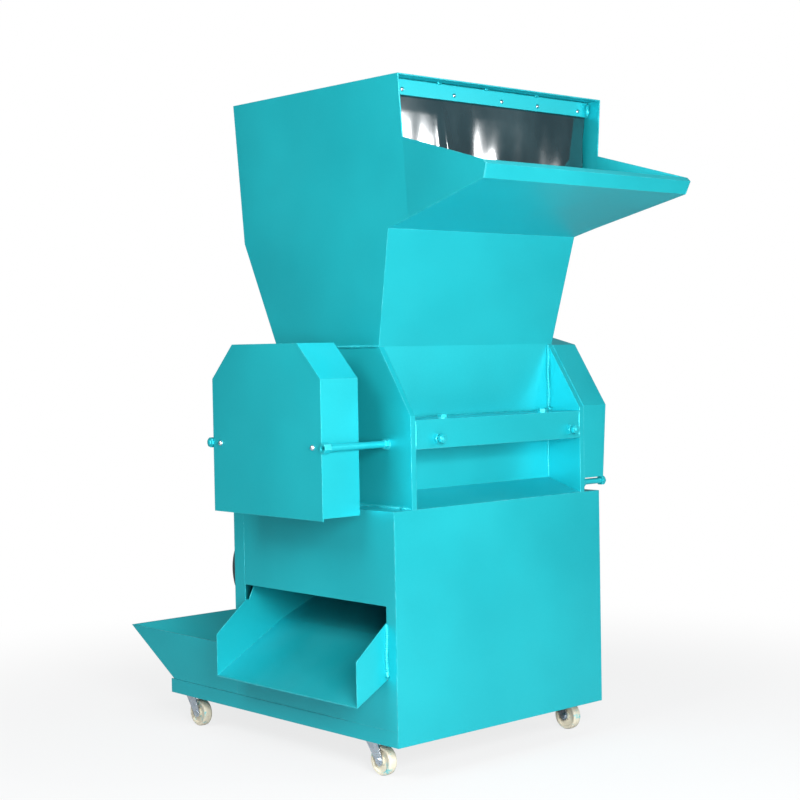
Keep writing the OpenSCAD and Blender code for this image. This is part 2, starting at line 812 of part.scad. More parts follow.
// Bearing housing bolted to the outside of a side plate, for the left side
module bearing_housing() {
    difference() {
        union() {
            bar_x(-chamber_x - housing_w, -chamber_x, rotor_y, rotor_z, housing_r * 0.72);
            bar_x(-chamber_x - housing_w / 3, -chamber_x, rotor_y, rotor_z, housing_r);
            for (a = [45 : 90 : 315])
                hex_x(-chamber_x - housing_w / 2, -chamber_x - housing_w / 3 + run_gap,
                    rotor_y + housing_bolt_r * cos(a), rotor_z + housing_bolt_r * sin(a), housing_bolt_r / 8);
        }
        bar_x(-chamber_x - housing_w - overrun, -chamber_x + overrun, rotor_y, rotor_z,
            journal_r + pin_play / 2);
    }
}

// Left housing in the gap beside the guard and a flat one under the belt guard
module bearing_housings() {
    flat_w = (pulley_x - chamber_x) * 0.85;
    placed() color(paint) {
        bearing_housing();
        difference() {
            bar_x(chamber_x, chamber_x + flat_w, rotor_y, rotor_z, housing_r);
            bar_x(chamber_x - overrun, chamber_x + flat_w + overrun, rotor_y, rotor_z,
                journal_r + pin_play / 2);
        }
    }
}

// Stepped shaft through the chamber, with collars inside the side plates
module rotor_shaft() {
    end_x = guard_out_x + rib_t;
    placed() color(steel) {
        bar_x(-inner_x + collar_gap, inner_x - collar_gap, rotor_y, rotor_z, shaft_r);
        bar_x(-chamber_x - housing_w - shaft_end, pulley_x - run_gap, rotor_y, rotor_z, journal_r);
        bar_x(end_x, pulley_x + pulley_w + shaft_end, rotor_y, rotor_z, seat_r);
    }
}

// Row of discs, each with one seat for each knife
module rotor_discs() {
    step = (disc_span - disc_t) / (disc_count - 1);
    knife_in = cut_r - knife_d;
    placed() color("dimgray") translate([0, rotor_y, rotor_z]) rotate([90, 0, 90])
        for (i = [0 : disc_count - 1]) translate([0, 0, -disc_span / 2 + i * step])
            linear_extrude(disc_t) difference() {
                union() {
                    circle(r = shaft_r + disc_hub_t);
                    for (k = [0 : knife_count - 1]) rotate(360 * k / knife_count)
                        translate([0, -arm_w]) square([cut_r - disc_clear, arm_w]);
                }
                circle(r = shaft_r + pin_play / 2);
                for (k = [0 : knife_count - 1]) rotate(360 * k / knife_count)
                    translate([knife_in, -run_gap]) square([knife_d + overrun, run_gap + overrun]);
            }
}

// Full-length knives on the faces of the disc arms, with a ground edge
module rotor_knives() {
    knife_in = cut_r - knife_d;
    placed() color(steel) translate([0, rotor_y, rotor_z]) rotate([90, 0, 90])
        for (k = [0 : knife_count - 1]) rotate(360 * k / knife_count)
            translate([0, -run_gap + seat_gap, -knife_len / 2]) linear_extrude(knife_len)
                polygon([[knife_in, 0], [cut_r - run_gap, 0], [cut_r - run_gap - knife_t / 2, knife_t],
                    [knife_in, knife_t]]);
}

// Cap screws that hold each knife to each disc
module rotor_knife_bolts() {
    step = (disc_span - disc_t) / (disc_count - 1);
    head_r = 10;
    placed() color("dimgray") translate([0, rotor_y, rotor_z]) rotate([90, 0, 90])
        for (k = [0 : knife_count - 1]) rotate(360 * k / knife_count)
            for (i = [0 : disc_count - 1])
                translate([cut_r - knife_d * 0.66, knife_t - run_gap + 2 * seat_gap,
                    -disc_span / 2 + i * step + disc_t / 2])
                    rotate([-90, 0, 0]) difference() {
                        cylinder(h = head_r, r = head_r);
                        translate([0, 0, head_r / 2]) cylinder(h = head_r, r = head_r / 2, $fn = 6);
                    }
}

// Flywheel with a heavy rim, a web and a hub
module flywheel() {
    rim = 45;
    hub_r = 62;
    placed() color("dimgray") translate([flywheel_x, rotor_y, rotor_z]) rotate([0, -90, 0])
        rotate_extrude() polygon([[seat_r + pin_play / 2, 0], [hub_r, 0], [hub_r, flywheel_w / 3],
            [flywheel_r - rim, flywheel_w / 3], [flywheel_r - rim, 0], [flywheel_r, 0],
            [flywheel_r, flywheel_w], [flywheel_r - rim, flywheel_w], [flywheel_r - rim, flywheel_w * 2 / 3],
            [hub_r, flywheel_w * 2 / 3], [hub_r, flywheel_w], [seat_r + pin_play / 2, flywheel_w]]);
}

// Groove of each belt in the rim of a pulley, as radius and place along the axis
module groove_cuts(r_out) {
    for (x = belt_x) translate([0, x - pulley_x])
        polygon([[r_out + overrun, -belt_top_w / 2 - seat_gap], [r_out + overrun, belt_top_w / 2 + seat_gap],
            [r_out, belt_top_w / 2 + seat_gap], [r_out - belt_d - seat_gap, belt_low_w / 2 + seat_gap],
            [r_out - belt_d - seat_gap, -belt_low_w / 2 - seat_gap], [r_out, -belt_top_w / 2 - seat_gap]]);
}

// Grooved pulley on a shaft along X
module pulley(y, z, pitch_r, bore_r) {
    r_out = pitch_r + belt_d / 4;
    translate([pulley_x, y, z]) rotate([0, 90, 0]) rotate_extrude() difference() {
        translate([bore_r + pin_play / 2, 0]) square([r_out - bore_r - pin_play / 2, pulley_w]);
        groove_cuts(r_out);
    }
}

module rotor_pulley() {
    placed() color("dimgray") pulley(rotor_y, rotor_z, rotor_pulley_r, seat_r);
}

// Two curved ribs, cross bars and hinge lugs that hold the screen
module screen_cradle() {
    rib_in = screen_r + screen_t + seat_gap;
    half_w = inner_x - cradle_gap;
    bay = (2 * half_w - rib_t) / 3;
    low = screen_low_angle;
    pin_reach = norm([cradle_pin_y - rotor_y, cradle_pin_z - rotor_z]);
    pin_angle = atan2(cradle_pin_z - rotor_z, cradle_pin_y - rotor_y);
    placed() color(paint) {
        difference() {
            union() {
                for (i = [0 : 3]) translate([-half_w + i * bay, rotor_y, rotor_z]) rotate([90, 0, 90])
                    rotate([0, 0, 180 + low]) rotate_extrude(angle = 180 - 2 * low)
                        translate([rib_in, 0]) square([cradle_r - rib_in, rib_t]);
                for (x = [-half_w, half_w - rib_t]) {
                    bar_x(x, x + rib_t, cradle_pin_y, cradle_pin_z, cradle_lug_r);
                    translate([x, rotor_y, rotor_z]) rotate([pin_angle, 0, 0])
                        translate([0, rib_in + rib_t / 2, -rib_t])
                            cube([rib_t, pin_reach - rib_in - rib_t / 2, 2 * rib_t]);
                }
            }
            bar_x(-half_w - overrun, half_w + overrun, cradle_pin_y, cradle_pin_z, cradle_pin_r + pin_play / 2);
        }
        for (i = [0 : 2]) for (share = bar_shares)
            translate([-half_w + i * bay + rib_t + seat_gap / 2, rotor_y, rotor_z])
                rotate([180 + low + share * (180 - 2 * low), 0, 0])
                    translate([0, (rib_in + cradle_r - rib_t) / 2, -rib_t / 2])
                        cube([bay - rib_t - seat_gap, rib_t, rib_t]);
    }
}

// Half-round screen with rows of slots
module screen() {
    half_w = inner_x - cradle_gap - run_gap;
    low = screen_low_angle;
    hole_columns = 10;
    pitch = 2 * half_w / hole_columns;
    placed() color(steel) difference() {
        translate([-half_w, rotor_y, rotor_z]) rotate([90, 0, 90]) rotate([0, 0, 180 + low])
            rotate_extrude(angle = 180 - 2 * low) translate([screen_r, 0]) square([screen_t, 2 * half_w]);
        for (i = [0 : hole_columns - 1]) for (a = [214 : 16 : 326])
            translate([-half_w + (i + 0.5) * pitch, rotor_y, rotor_z]) rotate([a, 0, 0])
                translate([0, screen_r - overrun, 0]) rotate([-90, 0, 0])
                    cylinder(h = screen_t + 2 * overrun, r = screen_hole_d / 2, $fn = 16);
    }
}

// Two pins through the side plates that the cradle hangs on
module cradle_pins() {
    placed() color(steel) both_sides() {
        bar_x(-chamber_x - pin_head_t, -inner_x + cradle_gap + rib_t, cradle_pin_y, cradle_pin_z, cradle_pin_r);
        bar_x(-chamber_x - pin_head_t, -chamber_x, cradle_pin_y, cradle_pin_z, cradle_pin_r + pin_head_lip);
    }
}

// Cover of the flywheel, open towards the chamber and at the bottom
module flywheel_guard() {
    c = guard_chamfer;
    t = sheet;
    placed() color(paint) difference() {
        along_x(guard_out_x, guard_x) polygon([[guard_y0, guard_bottom], [guard_y0, guard_top - c],
            [guard_y0 + c, guard_top], [guard_y1 - c, guard_top], [guard_y1, guard_top - c],
            [guard_y1, guard_bottom]]);
        along_x(guard_out_x + t, guard_x + overrun) polygon([[guard_y0 + t, guard_bottom - overrun],
            [guard_y0 + t, guard_top - c - t / 2], [guard_y0 + c + t / 2, guard_top - t],
            [guard_y1 - c - t / 2, guard_top - t], [guard_y1 - t, guard_top - c - t / 2],
            [guard_y1 - t, guard_bottom - overrun]]);
        block(guard_out_x + t, guard_x + overrun, guard_y0 - overrun, guard_y1 + overrun,
            guard_bottom - overrun, guard_bottom + 2 * t);
    }
}

// Painted rods that carry the guards, each with a nut at its root and one at its end
module guard_rods() {
    placed() color(paint) {
        for (y = [front_rod_y, rear_rod_y]) {
            bar_x(guard_out_x + nut_h, -chamber_x, y, rod_z, rod_r);
            hex_x(-chamber_x - nut_h, -chamber_x, y, rod_z, bush_r);
        }
        bar_x(chamber_x, belt_guard_x - nut_h, belt_rod_y, belt_rod_z, belt_rod_r);
        hex_x(chamber_x, chamber_x + nut_h, belt_rod_y, belt_rod_z, bush_r);
    }
}

// Welded nuts of the guards that the ends of the rods stand in
module guard_bushes() {
    bolt_r = 6;
    placed() color(paint) {
        difference() {
            hex_x(guard_out_x - rod_out, guard_out_x + nut_h, front_rod_y, rod_z, bush_r);
            bar_x(guard_out_x - rod_out - overrun, guard_out_x + nut_h - run_gap, front_rod_y, rod_z, bolt_r);
        }
        hex_x(guard_out_x - rod_out / 2, guard_out_x + nut_h, rear_rod_y, rod_z, bush_r);
        bar_x(guard_out_x - rod_out, guard_out_x - rod_out / 2, rear_rod_y, rod_z, bolt_r);
        hex_x(belt_guard_x - nut_h, belt_guard_x, belt_rod_y, belt_rod_z, bush_r);
    }
}

// Domed bolt heads on the outer face of the flywheel guard
module guard_bolts() {
    head_r = 7;
    inset = guard_len * 0.075;
    placed() color(steel) for (y = [guard_y0 + inset, guard_y1 - inset])
        translate([guard_out_x, y, rod_z]) intersection() {
            sphere(r = head_r);
            translate([-head_r, -head_r, -head_r]) cube([head_r, 2 * head_r, 2 * head_r]);
        }
}

// Cover of the belts beside the right side plate, narrower towards its open lower edge
module belt_guard() {
    t = sheet;
    back = plate_d - sheet;
    setback = back * 0.169;
    y_top = back * 0.3125;
    shoulder = belt_guard_top - belt_guard_crown;
    lean = atan(belt_guard_taper / (belt_guard_knee - belt_guard_z));
    placed() color(paint) difference() {
        along_x(chamber_x, belt_guard_x) polygon([[0, belt_guard_z], [0, belt_guard_knee],
            [setback, shoulder], [y_top, belt_guard_top], [back - y_top, belt_guard_top],
            [back - setback, shoulder], [back, belt_guard_knee], [back, belt_guard_z]]);
        along_x(chamber_x - overrun, belt_guard_x - belt_guard_taper - t) polygon([[t, belt_guard_z - overrun],
            [t, belt_guard_knee - t / 2], [setback + t / 2, shoulder - t], [y_top + t / 2, belt_guard_top - t],
            [back - y_top - t / 2, belt_guard_top - t], [back - setback - t / 2, shoulder - t],
            [back - t, belt_guard_knee - t / 2], [back - t, belt_guard_z - overrun]]);
        translate([belt_guard_x, 0, belt_guard_knee]) rotate([0, lean, 0])
            translate([0, -overrun, -2 * base_h]) cube([base_w, base_d + 2 * overrun, 2 * base_h]);
        block(chamber_x - overrun, belt_guard_x - belt_guard_taper - t, back - t - overrun, back + overrun,
            belt_guard_z - overrun, belt_guard_z + belt_guard_rise);
        hopper_width(-seat_gap);
    }
}

// Cover of the belts behind the cabinet, round the motor pulley
module rear_belt_guard() {
    t = sheet;
    x0 = slot_x0;
    x1 = pulley_x + pulley_w + guard_room;
    y0 = plate_d;
    y1 = motor_y + motor_pulley_r + 1.7 * guard_room;
    z0 = motor_z - motor_pulley_r - 1.5 * guard_room;
    lead = 2.5 * guard_room;
    y_low = motor_z + 1.6 * guard_room;
    y_high = rotor_z - rotor_pulley_r * 0.65;
    outer = [[base_d + seat_gap, z0 + lead], [base_d + 2 * lead, z0], [y1 - lead, z0], [y1, z0 + lead],
        [y1, y_low], [y0, y_high], [y0, top_z + seat_gap], [base_d + seat_gap, top_z + seat_gap]];
    inner = [[base_d - overrun, z0 + lead + t], [base_d + 2 * lead, z0 + t], [y1 - lead - t / 2, z0 + t],
        [y1 - t, z0 + lead + t / 2], [y1 - t, y_low - t / 2], [y0 - overrun, y_high - 1.5 * t],
        [y0 - overrun, top_z - overrun], [base_d - overrun, top_z - overrun]];
    placed() color(paint) difference() {
        along_x(x0, x1) polygon(outer);
        along_x(x0 - overrun, x1 - t) polygon(inner);
    }
}

// Ribbed motor body with its feet and end shield
module motor_body() {
    fins = 28;
    fin_h = 12;
    fin_t = 3;
    x0 = motor_x0 + cowl_len;
    foot_y = base_d + foot_t;
    foot_z = motor_r * 0.85;
    placed() color("dimgray") difference() {
        union() {
            translate([x0, motor_y, motor_z]) rotate([90, 0, 90]) linear_extrude(motor_len) union() {
                circle(r = motor_r - fin_h);
                for (i = [0 : fins - 1]) rotate(360 * i / fins) translate([0, -fin_t / 2])
                    square([motor_r, fin_t]);
            }
            bar_x(motor_face_x, motor_face_x + fin_h, motor_y, motor_z, motor_r - fin_h / 2);
            bar_x(x0 - fin_h, x0, motor_y, motor_z, cowl_r - cowl_t - seat_gap);
            for (x = [x0 + motor_len * 0.09, motor_face_x - motor_len * 0.24])
                block(x, x + motor_len * 0.15, foot_y, motor_y, motor_z - foot_z, motor_z + foot_z);
        }
        bar_x(motor_face_x - motor_socket, motor_face_x + fin_h + overrun, motor_y, motor_z,
            motor_shaft_r + pin_play / 2);
    }
}

// Sheet cowl over the fan, with a ring grille in its end
module motor_fan_cowl() {
    t = cowl_t;
    bar_w = cowl_r / 15;
    placed() color("dimgray") translate([motor_x0, motor_y, motor_z]) rotate([0, 90, 0])
        difference() {
            cylinder(h = cowl_len, r = cowl_r);
            translate([0, 0, t]) cylinder(h = cowl_len, r = cowl_r - t);
            for (i = [0 : 4]) difference() {
                r = cowl_r * (0.25 + i * 0.117);
                translate([0, 0, -overrun]) cylinder(h = t + 2 * overrun, r = r + bar_w);
                translate([0, 0, -2 * overrun]) cylinder(h = t + 4 * overrun, r = r);
                for (a = [0, 60, 120]) rotate(a) translate([-cowl_r, -bar_w / 2, -overrun])
                    cube([2 * cowl_r, bar_w, t + 2 * overrun]);
            }
        }
}

// Box on the motor for its leads
module motor_terminal_box() {
    half_w = lead_box_w / 2;
    over = lead_lid_over;
    z0 = motor_z + motor_r + seat_gap;
    z1 = z0 + lead_box_h;
    x0 = motor_face_x - lead_box_back;
    x1 = x0 + lead_box_w;
    placed() color("dimgray") {
        block(x0, x1, motor_y - half_w, motor_y + half_w, z0, z1);
        block(x0 - over, x1 + over, motor_y - half_w - over, motor_y + half_w + over, z1, z1 + lead_lid_t);
    }
}

// Plate with two ribs that holds the motor on the rear of the cabinet
module motor_bracket() {
    x0 = motor_x0 + cowl_len;
    x1 = motor_face_x + 2 * foot_t;
    h = motor_r * 1.15;
    gusset = 5 * foot_t;
    placed() color(paint) {
        block(x0, x1, base_d, base_d + foot_t, motor_z - h, motor_z + h);
        for (x = [x0, x1 - foot_t]) along_x(x, x + foot_t) polygon([[base_d + foot_t, motor_z - h],
            [base_d + foot_t + gusset, motor_z - h], [base_d + foot_t, motor_z - h + gusset]]);
    }
}

// Shaft of the motor, held in the end shield
module motor_shaft() {
    placed() color(steel)
        bar_x(motor_face_x - motor_socket + run_gap, pulley_x + pulley_w + shaft_end, motor_y, motor_z,
            motor_shaft_r);
}

module motor_pulley() {
    placed() color("dimgray") pulley(motor_y, motor_z, motor_pulley_r, motor_shaft_r);
}

// Wedge section of a belt, as distance from the axis and place along it
module belt_section(pitch_r) {
    r_out = pitch_r + belt_d / 4;
    polygon([[r_out, -belt_top_w / 2], [r_out, belt_top_w / 2], [r_out - belt_d, belt_low_w / 2],
        [r_out - belt_d, -belt_low_w / 2]]);
}

// Closed belts round the two pulleys: two arcs and two straight runs each
module v_belts() {
    dy = motor_y - rotor_y;
    dz = motor_z - rotor_z;
    span = norm([dy, dz]);
    dir = atan2(dz, dy);
    wrap = acos((rotor_pulley_r - motor_pulley_r) / span);
    run = span * sin(wrap);
    placed() color("dimgray") for (x = belt_x) {
        translate([x, rotor_y, rotor_z]) rotate([90, 0, 90]) {
            rotate(dir + wrap) rotate_extrude(angle = 360 - 2 * wrap) belt_section(rotor_pulley_r);
            rotate(dir + wrap) rotate([90, 0, 0]) linear_extrude(run) belt_section(rotor_pulley_r);
            rotate(dir - wrap) translate([0, run, 0]) rotate([90, 0, 0]) linear_extrude(run)
                belt_section(rotor_pulley_r);
        }
        translate([x, motor_y, motor_z]) rotate([90, 0, 90])
            rotate(dir - wrap) rotate_extrude(angle = 2 * wrap) belt_section(motor_pulley_r);
    }
}

// Knuckle heights of the control box door
function knuckle_z(i) = box_z + box_h * (i == 0 ? 0.15 : 0.75);

// Sheet box on the right side of the cabinet, with its share of the hinges
module control_box() {
    t = sheet / 2;
    hinge_y = box_y - hinge_r - seat_gap;
    placed() color("gainsboro") {
        difference() {
            block(base_x, box_x, box_y, box_y + box_w, box_z, box_z + box_h);
            block(base_x + t, box_x + overrun, box_y + t, box_y + box_w - t, box_z + t, box_z + box_h - t);
            translate([box_x - box_d / 2, box_y + box_w / 2, box_z - overrun])
                cylinder(h = t + 2 * overrun, r = gland_thread_r);
        }
        for (i = [0, 1]) translate([box_x - hinge_r, hinge_y, knuckle_z(i)]) {
            cylinder(h = knuckle_h, r = hinge_r);
            cylinder(h = 2 * knuckle_h, r = hinge_r / 2);
            translate([-hinge_r, 0, 0]) cube([hinge_r, hinge_r + seat_gap + t, knuckle_h]);
        }
    }
}

// Door of the control box with its knuckles and the holes for the switches
module box_door() {
    hinge_y = box_y - hinge_r - seat_gap;
    placed() color("gainsboro") difference() {
        union() {
            block(door_x, door_x + door_t, box_y, box_y + box_w, box_z, box_z + box_h);
            for (i = [0, 1]) translate([box_x - hinge_r, hinge_y, knuckle_z(i) + knuckle_h + seat_gap]) {
                cylinder(h = knuckle_h - run_gap, r = hinge_r);
                translate([0, -hinge_r, 0]) cube([hinge_r + seat_gap + door_t, hinge_r, knuckle_h - run_gap]);
                translate([hinge_r + seat_gap, -hinge_r, 0]) cube([door_t, 3 * hinge_r, knuckle_h - run_gap]);
            }
        }
        for (i = [0, 1]) translate([box_x - hinge_r, hinge_y, knuckle_z(i)])
            cylinder(h = 3 * knuckle_h, r = hinge_r / 2 + pin_play / 2);
        for (p = switch_places()) bar_x(door_x - overrun, door_x + door_t + overrun, p[0], p[1], p[2]);
    }
}

// Place and hole radius of each switch: start, stop, emergency stop, isolator
function switch_places() = [
    [box_y + box_w * 0.35, box_z + box_h * 0.72, button_r + pin_play / 2],
    [box_y + box_w * 0.65, box_z + box_h * 0.72, button_r + pin_play / 2],
    [box_y + box_w * 0.35, box_z + box_h * 0.36, button_r + pin_play / 2],
    [box_y + box_w * 0.65, box_z + box_h * 0.36, button_r + pin_play / 2]];

// Push button with a collar behind the door
module push_button(p, paint_name) {
    color(paint_name) {
        bar_x(door_x - button_stem, door_x + door_t + button_h, p[0], p[1], button_r);
        bar_x(door_x - button_stem - button_collar_t, door_x - button_stem, p[0], p[1],
            button_r + button_lip);
    }
}

module start_button() {
    placed() push_button(switch_places()[0], "green");
}

module stop_button() {
    placed() push_button(switch_places()[1], "firebrick");
}

// Mushroom head on a stem
module emergency_stop() {
    p = switch_places()[2];
    x1 = door_x + door_t + estop_reach;
    cap_h = estop_cap_h;
    placed() color("firebrick") {
        bar_x(door_x - button_stem, x1 - cap_h + estop_seat, p[0], p[1], button_r);
        translate([x1 - cap_h, p[0], p[1]]) rotate([0, 90, 0]) rotate_extrude()
            polygon([[0, 0], [estop_r - estop_edge, 0], [estop_r, cap_h / 4], [estop_r, cap_h * 7 / 12],
                [estop_r - estop_dome, cap_h * 11 / 12], [0, cap_h]]);
    }
}

// Turning knob with a raised grip
module isolator_knob() {
    p = switch_places()[3];
    x0 = door_x + door_t + run_gap;
    x1 = x0 + knob_plate_t;
    half_w = knob_grip_w / 2;
    placed() color("black") {
        bar_x(door_x - button_stem, x0, p[0], p[1], button_r);
        bar_x(x0, x1, p[0], p[1], estop_r);
        block(x1, x1 + knob_grip_h, p[0] - half_w, p[0] + half_w, p[1] - estop_r * 0.9, p[1] + estop_r * 0.9);
    }
}

// Gland for the supply lead under the control box
module cable_gland() {
    below = gland_nut_t + gland_cap_h;
    placed() color("black") translate([box_x - box_d / 2, box_y + box_w / 2, box_z]) difference() {
        union() {
            translate([0, 0, -gland_nut_t]) cylinder(h = gland_nut_t, r = gland_nut_r, $fn = 6);
            translate([0, 0, -below]) cylinder(h = gland_cap_h, r = gland_cap_r);
            translate([0, 0, -gland_nut_t])
                cylinder(h = gland_nut_t + gland_thread_in, r = gland_thread_r - seat_gap);
        }
        translate([0, 0, -below - overrun])
            cylinder(h = below + gland_thread_in + 2 * overrun, r = gland_bore_r);
    }
}

// Runs its children at one caster: side is -1 or 1, y is the place of the swivel
module at_caster(side, y) {
    placed() translate([side * swivel_x, y, 0]) children();
}

// Plate, race and king pin of each caster, under the rails
module caster_plates() {
    for (side = [-1, 1]) for (y = [front_swivel_y, rear_swivel_y]) at_caster(side, y) color(steel) {
        translate([-caster_plate_w / 2, -caster_plate_len / 2, caster_h - caster_plate_t])
            cube([caster_plate_w, caster_plate_len, caster_plate_t]);
        translate([0, 0, caster_h - caster_plate_t - race_h / 3]) cylinder(h = race_h / 3, r = race_r);
        translate([0, 0, caster_h - caster_plate_t - race_h - kingpin_tail]) {
            cylinder(h = race_h + kingpin_tail, r = kingpin_r);
            cylinder(h = kingpin_head_t, r = kingpin_r + kingpin_lip);
        }
    }
}

// Swivel fork with two legs and the axle bolt
module caster_fork() {
    head_z = caster_h - caster_plate_t - race_h / 3 - seat_gap;
    axle_z = wheel_d / 2;
    half_w = fork_w / 2;
    head_low = head_z - race_h / 2;
    color(steel) difference() {
        union() {
            translate([0, 0, head_low]) cylinder(h = race_h / 2, r = race_r);
            both_sides() along_x(-half_w, -half_w + fork_t) {
                polygon([[-race_r * 0.8, head_z], [race_r * 0.8, head_z], [race_r * 0.8, head_low - fork_drop],
                    [-caster_trail + leg_half_w, axle_z - fork_drop],
                    [-caster_trail - leg_half_w, axle_z - fork_drop],
                    [-caster_trail - leg_half_w, axle_z + leg_rise]]);
                translate([-caster_trail, axle_z]) circle(r = leg_end_r);
            }
            bar_x(-half_w, half_w, -caster_trail, axle_z, axle_r);
            bar_x(half_w, half_w + axle_end_t, -caster_trail, axle_z, axle_r + axle_lip);
            hex_x(-half_w - axle_nut_t, -half_w, -caster_trail, axle_z, axle_r + axle_lip);
        }
        translate([0, 0, head_low - overrun]) cylinder(h = race_h, r = kingpin_r + pin_play / 2);
    }
}

// Wheel with a rounded tread and a hub
module caster_wheel() {
    r = wheel_d / 2;
    w = wheel_w / 2;
    hub = fork_w / 2 - fork_t - seat_gap;
    bore = axle_r + pin_play / 2;
    hub_r = bore + hub_wall;
    color("antiquewhite") translate([0, -caster_trail, r]) rotate([0, 90, 0]) rotate_extrude()
        polygon([[bore, -hub], [hub_r, -hub], [hub_r, -w * 0.6], [r * 0.72, -w * 0.6], [r * 0.78, -w],
            [r - tread_round, -w], [r - tread_crown, -w * 0.75], [r, -w * 0.35], [r, w * 0.35],
            [r - tread_crown, w * 0.75], [r - tread_round, w], [r * 0.78, w], [r * 0.72, w * 0.6],
            [hub_r, w * 0.6], [hub_r, hub], [bore, hub]]);
}

module front_left_fork() {
    at_caster(-1, front_swivel_y) caster_fork();
}

module front_right_fork() {
    at_caster(1, front_swivel_y) caster_fork();
}

module rear_left_fork() {
    at_caster(-1, rear_swivel_y) caster_fork();
}

module rear_right_fork() {
    at_caster(1, rear_swivel_y) caster_fork();
}

module front_left_wheel() {
    at_caster(-1, front_swivel_y) caster_wheel();
}

module front_right_wheel() {
    at_caster(1, front_swivel_y) caster_wheel();
}

module rear_left_wheel() {
    at_caster(-1, rear_swivel_y) caster_wheel();
}

module rear_right_wheel() {
    at_caster(1, rear_swivel_y) caster_wheel();
}

base_frame();
base_front_panel();
base_left_panel();
base_right_panel();
base_rear_panel();
base_top_plate();
discharge_chute();
rear_trough();
left_side_plate();
right_side_plate();
front_apron();
rear_wall();
front_knife_beam();
rear_knife_beam();
fixed_knives();
knife_bolts();
hopper_shell();
feed_tray();
curtain_clamp();
curtain_screws();
curtain();
bearing_housings();
rotor_shaft();
rotor_discs();
rotor_knives();
rotor_knife_bolts();
flywheel();
rotor_pulley();
screen_cradle();
screen();
cradle_pins();
flywheel_guard();
guard_rods();
guard_bushes();
guard_bolts();
belt_guard();
rear_belt_guard();
motor_body();
motor_fan_cowl();
motor_terminal_box();
motor_bracket();
motor_shaft();
motor_pulley();
v_belts();
control_box();
box_door();
cable_gland();
start_button();
stop_button();
emergency_stop();
isolator_knob();
caster_plates();
front_left_fork();
front_right_fork();
rear_left_fork();
rear_right_fork();
front_left_wheel();
front_right_wheel();
rear_left_wheel();
rear_right_wheel();
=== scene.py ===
import json
import math
import bmesh
import bpy
import numpy as np
from mathutils import Matrix, Vector


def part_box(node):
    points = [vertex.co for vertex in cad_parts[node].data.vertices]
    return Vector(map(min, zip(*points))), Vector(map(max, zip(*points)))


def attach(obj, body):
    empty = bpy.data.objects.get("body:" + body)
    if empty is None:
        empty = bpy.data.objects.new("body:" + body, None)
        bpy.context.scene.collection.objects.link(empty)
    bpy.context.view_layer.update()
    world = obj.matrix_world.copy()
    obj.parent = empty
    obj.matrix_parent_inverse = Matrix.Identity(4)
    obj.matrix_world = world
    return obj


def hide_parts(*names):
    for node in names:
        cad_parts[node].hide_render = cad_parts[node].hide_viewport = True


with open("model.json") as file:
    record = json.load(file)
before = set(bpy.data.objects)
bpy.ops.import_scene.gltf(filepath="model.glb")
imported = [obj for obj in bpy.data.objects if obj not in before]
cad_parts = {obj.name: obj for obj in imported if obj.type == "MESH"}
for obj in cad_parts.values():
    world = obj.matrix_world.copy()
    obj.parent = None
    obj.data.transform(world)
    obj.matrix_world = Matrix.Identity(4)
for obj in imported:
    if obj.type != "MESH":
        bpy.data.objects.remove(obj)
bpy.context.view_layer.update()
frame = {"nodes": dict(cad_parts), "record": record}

millimetre = 0.001
nodes = frame["nodes"]
originShift = np.array([0.0, -0.4205, 0.0])


# Camera and studio

cameraLook = {"azimuth": -42.224, "elevation": 1.794, "roll": -1.014, "distance": 3.9255,
              "target": (-0.350, -0.4205, 0.932), "lens": 73.14}
studio = {"worldLight": 0.20, "worldColor": (0.95, 0.98, 1.0), "floorColor": (0.55, 0.56, 0.57),
          "floorSize": 14.0, "glowNear": 0.80, "glowFrom": 0.9, "glowTo": 2.4}
middle = (0, 0, 0.9)
lamps = {"key": (178, 1.3, (-1.55, -2.8, 1.25), middle),
         "fill": (105, 1.8, (-3.5, -0.3, 3.3), middle),
         "glint": (22, 0.35, (2.1, -3.3, 1.9), (0.0, -0.4, 1.6)),
         "top": (56, 3.0, (0.3, -0.6, 4.6), middle)}


def makeCamera(look):
    # the three axes of the camera from azimuth, elevation and roll
    a, e, r = (math.radians(look[k]) for k in ("azimuth", "elevation", "roll"))
    back = np.array([math.sin(a) * math.cos(e), -math.cos(a) * math.cos(e), math.sin(e)])
    right = np.cross(-back, [0, 0, 1])
    right /= np.linalg.norm(right)
    up = np.cross(back, right)
    turnedRight = right * math.cos(r) + up * math.sin(r)
    turnedUp = up * math.cos(r) - right * math.sin(r)
    place = np.array(look["target"]) + back * look["distance"]
    camera = bpy.data.objects.new("camera", bpy.data.cameras.new("camera"))
    camera.data.lens = look["lens"]
    camera.data.sensor_width = 36
    camera.data.clip_end = 60
    rows = np.eye(4)
    rows[:3, 0], rows[:3, 1], rows[:3, 2], rows[:3, 3] = turnedRight, turnedUp, back, place
    camera.matrix_world = Matrix(rows.tolist())
    bpy.context.collection.objects.link(camera)
    bpy.context.scene.camera = camera


def wire(tree, a, b):
    tree.links.new(a, b)


def makeLamp(name, power, size, place, aim):
    # soft square lamp turned towards a point
    lamp = bpy.data.objects.new(name, bpy.data.lights.new(name, "AREA"))
    lamp.data.energy = power
    lamp.data.size = size
    lamp.location = place
    lamp.rotation_euler = Vector(np.subtract(aim, place)).to_track_quat("-Z", "Y").to_euler()
    bpy.context.collection.objects.link(lamp)


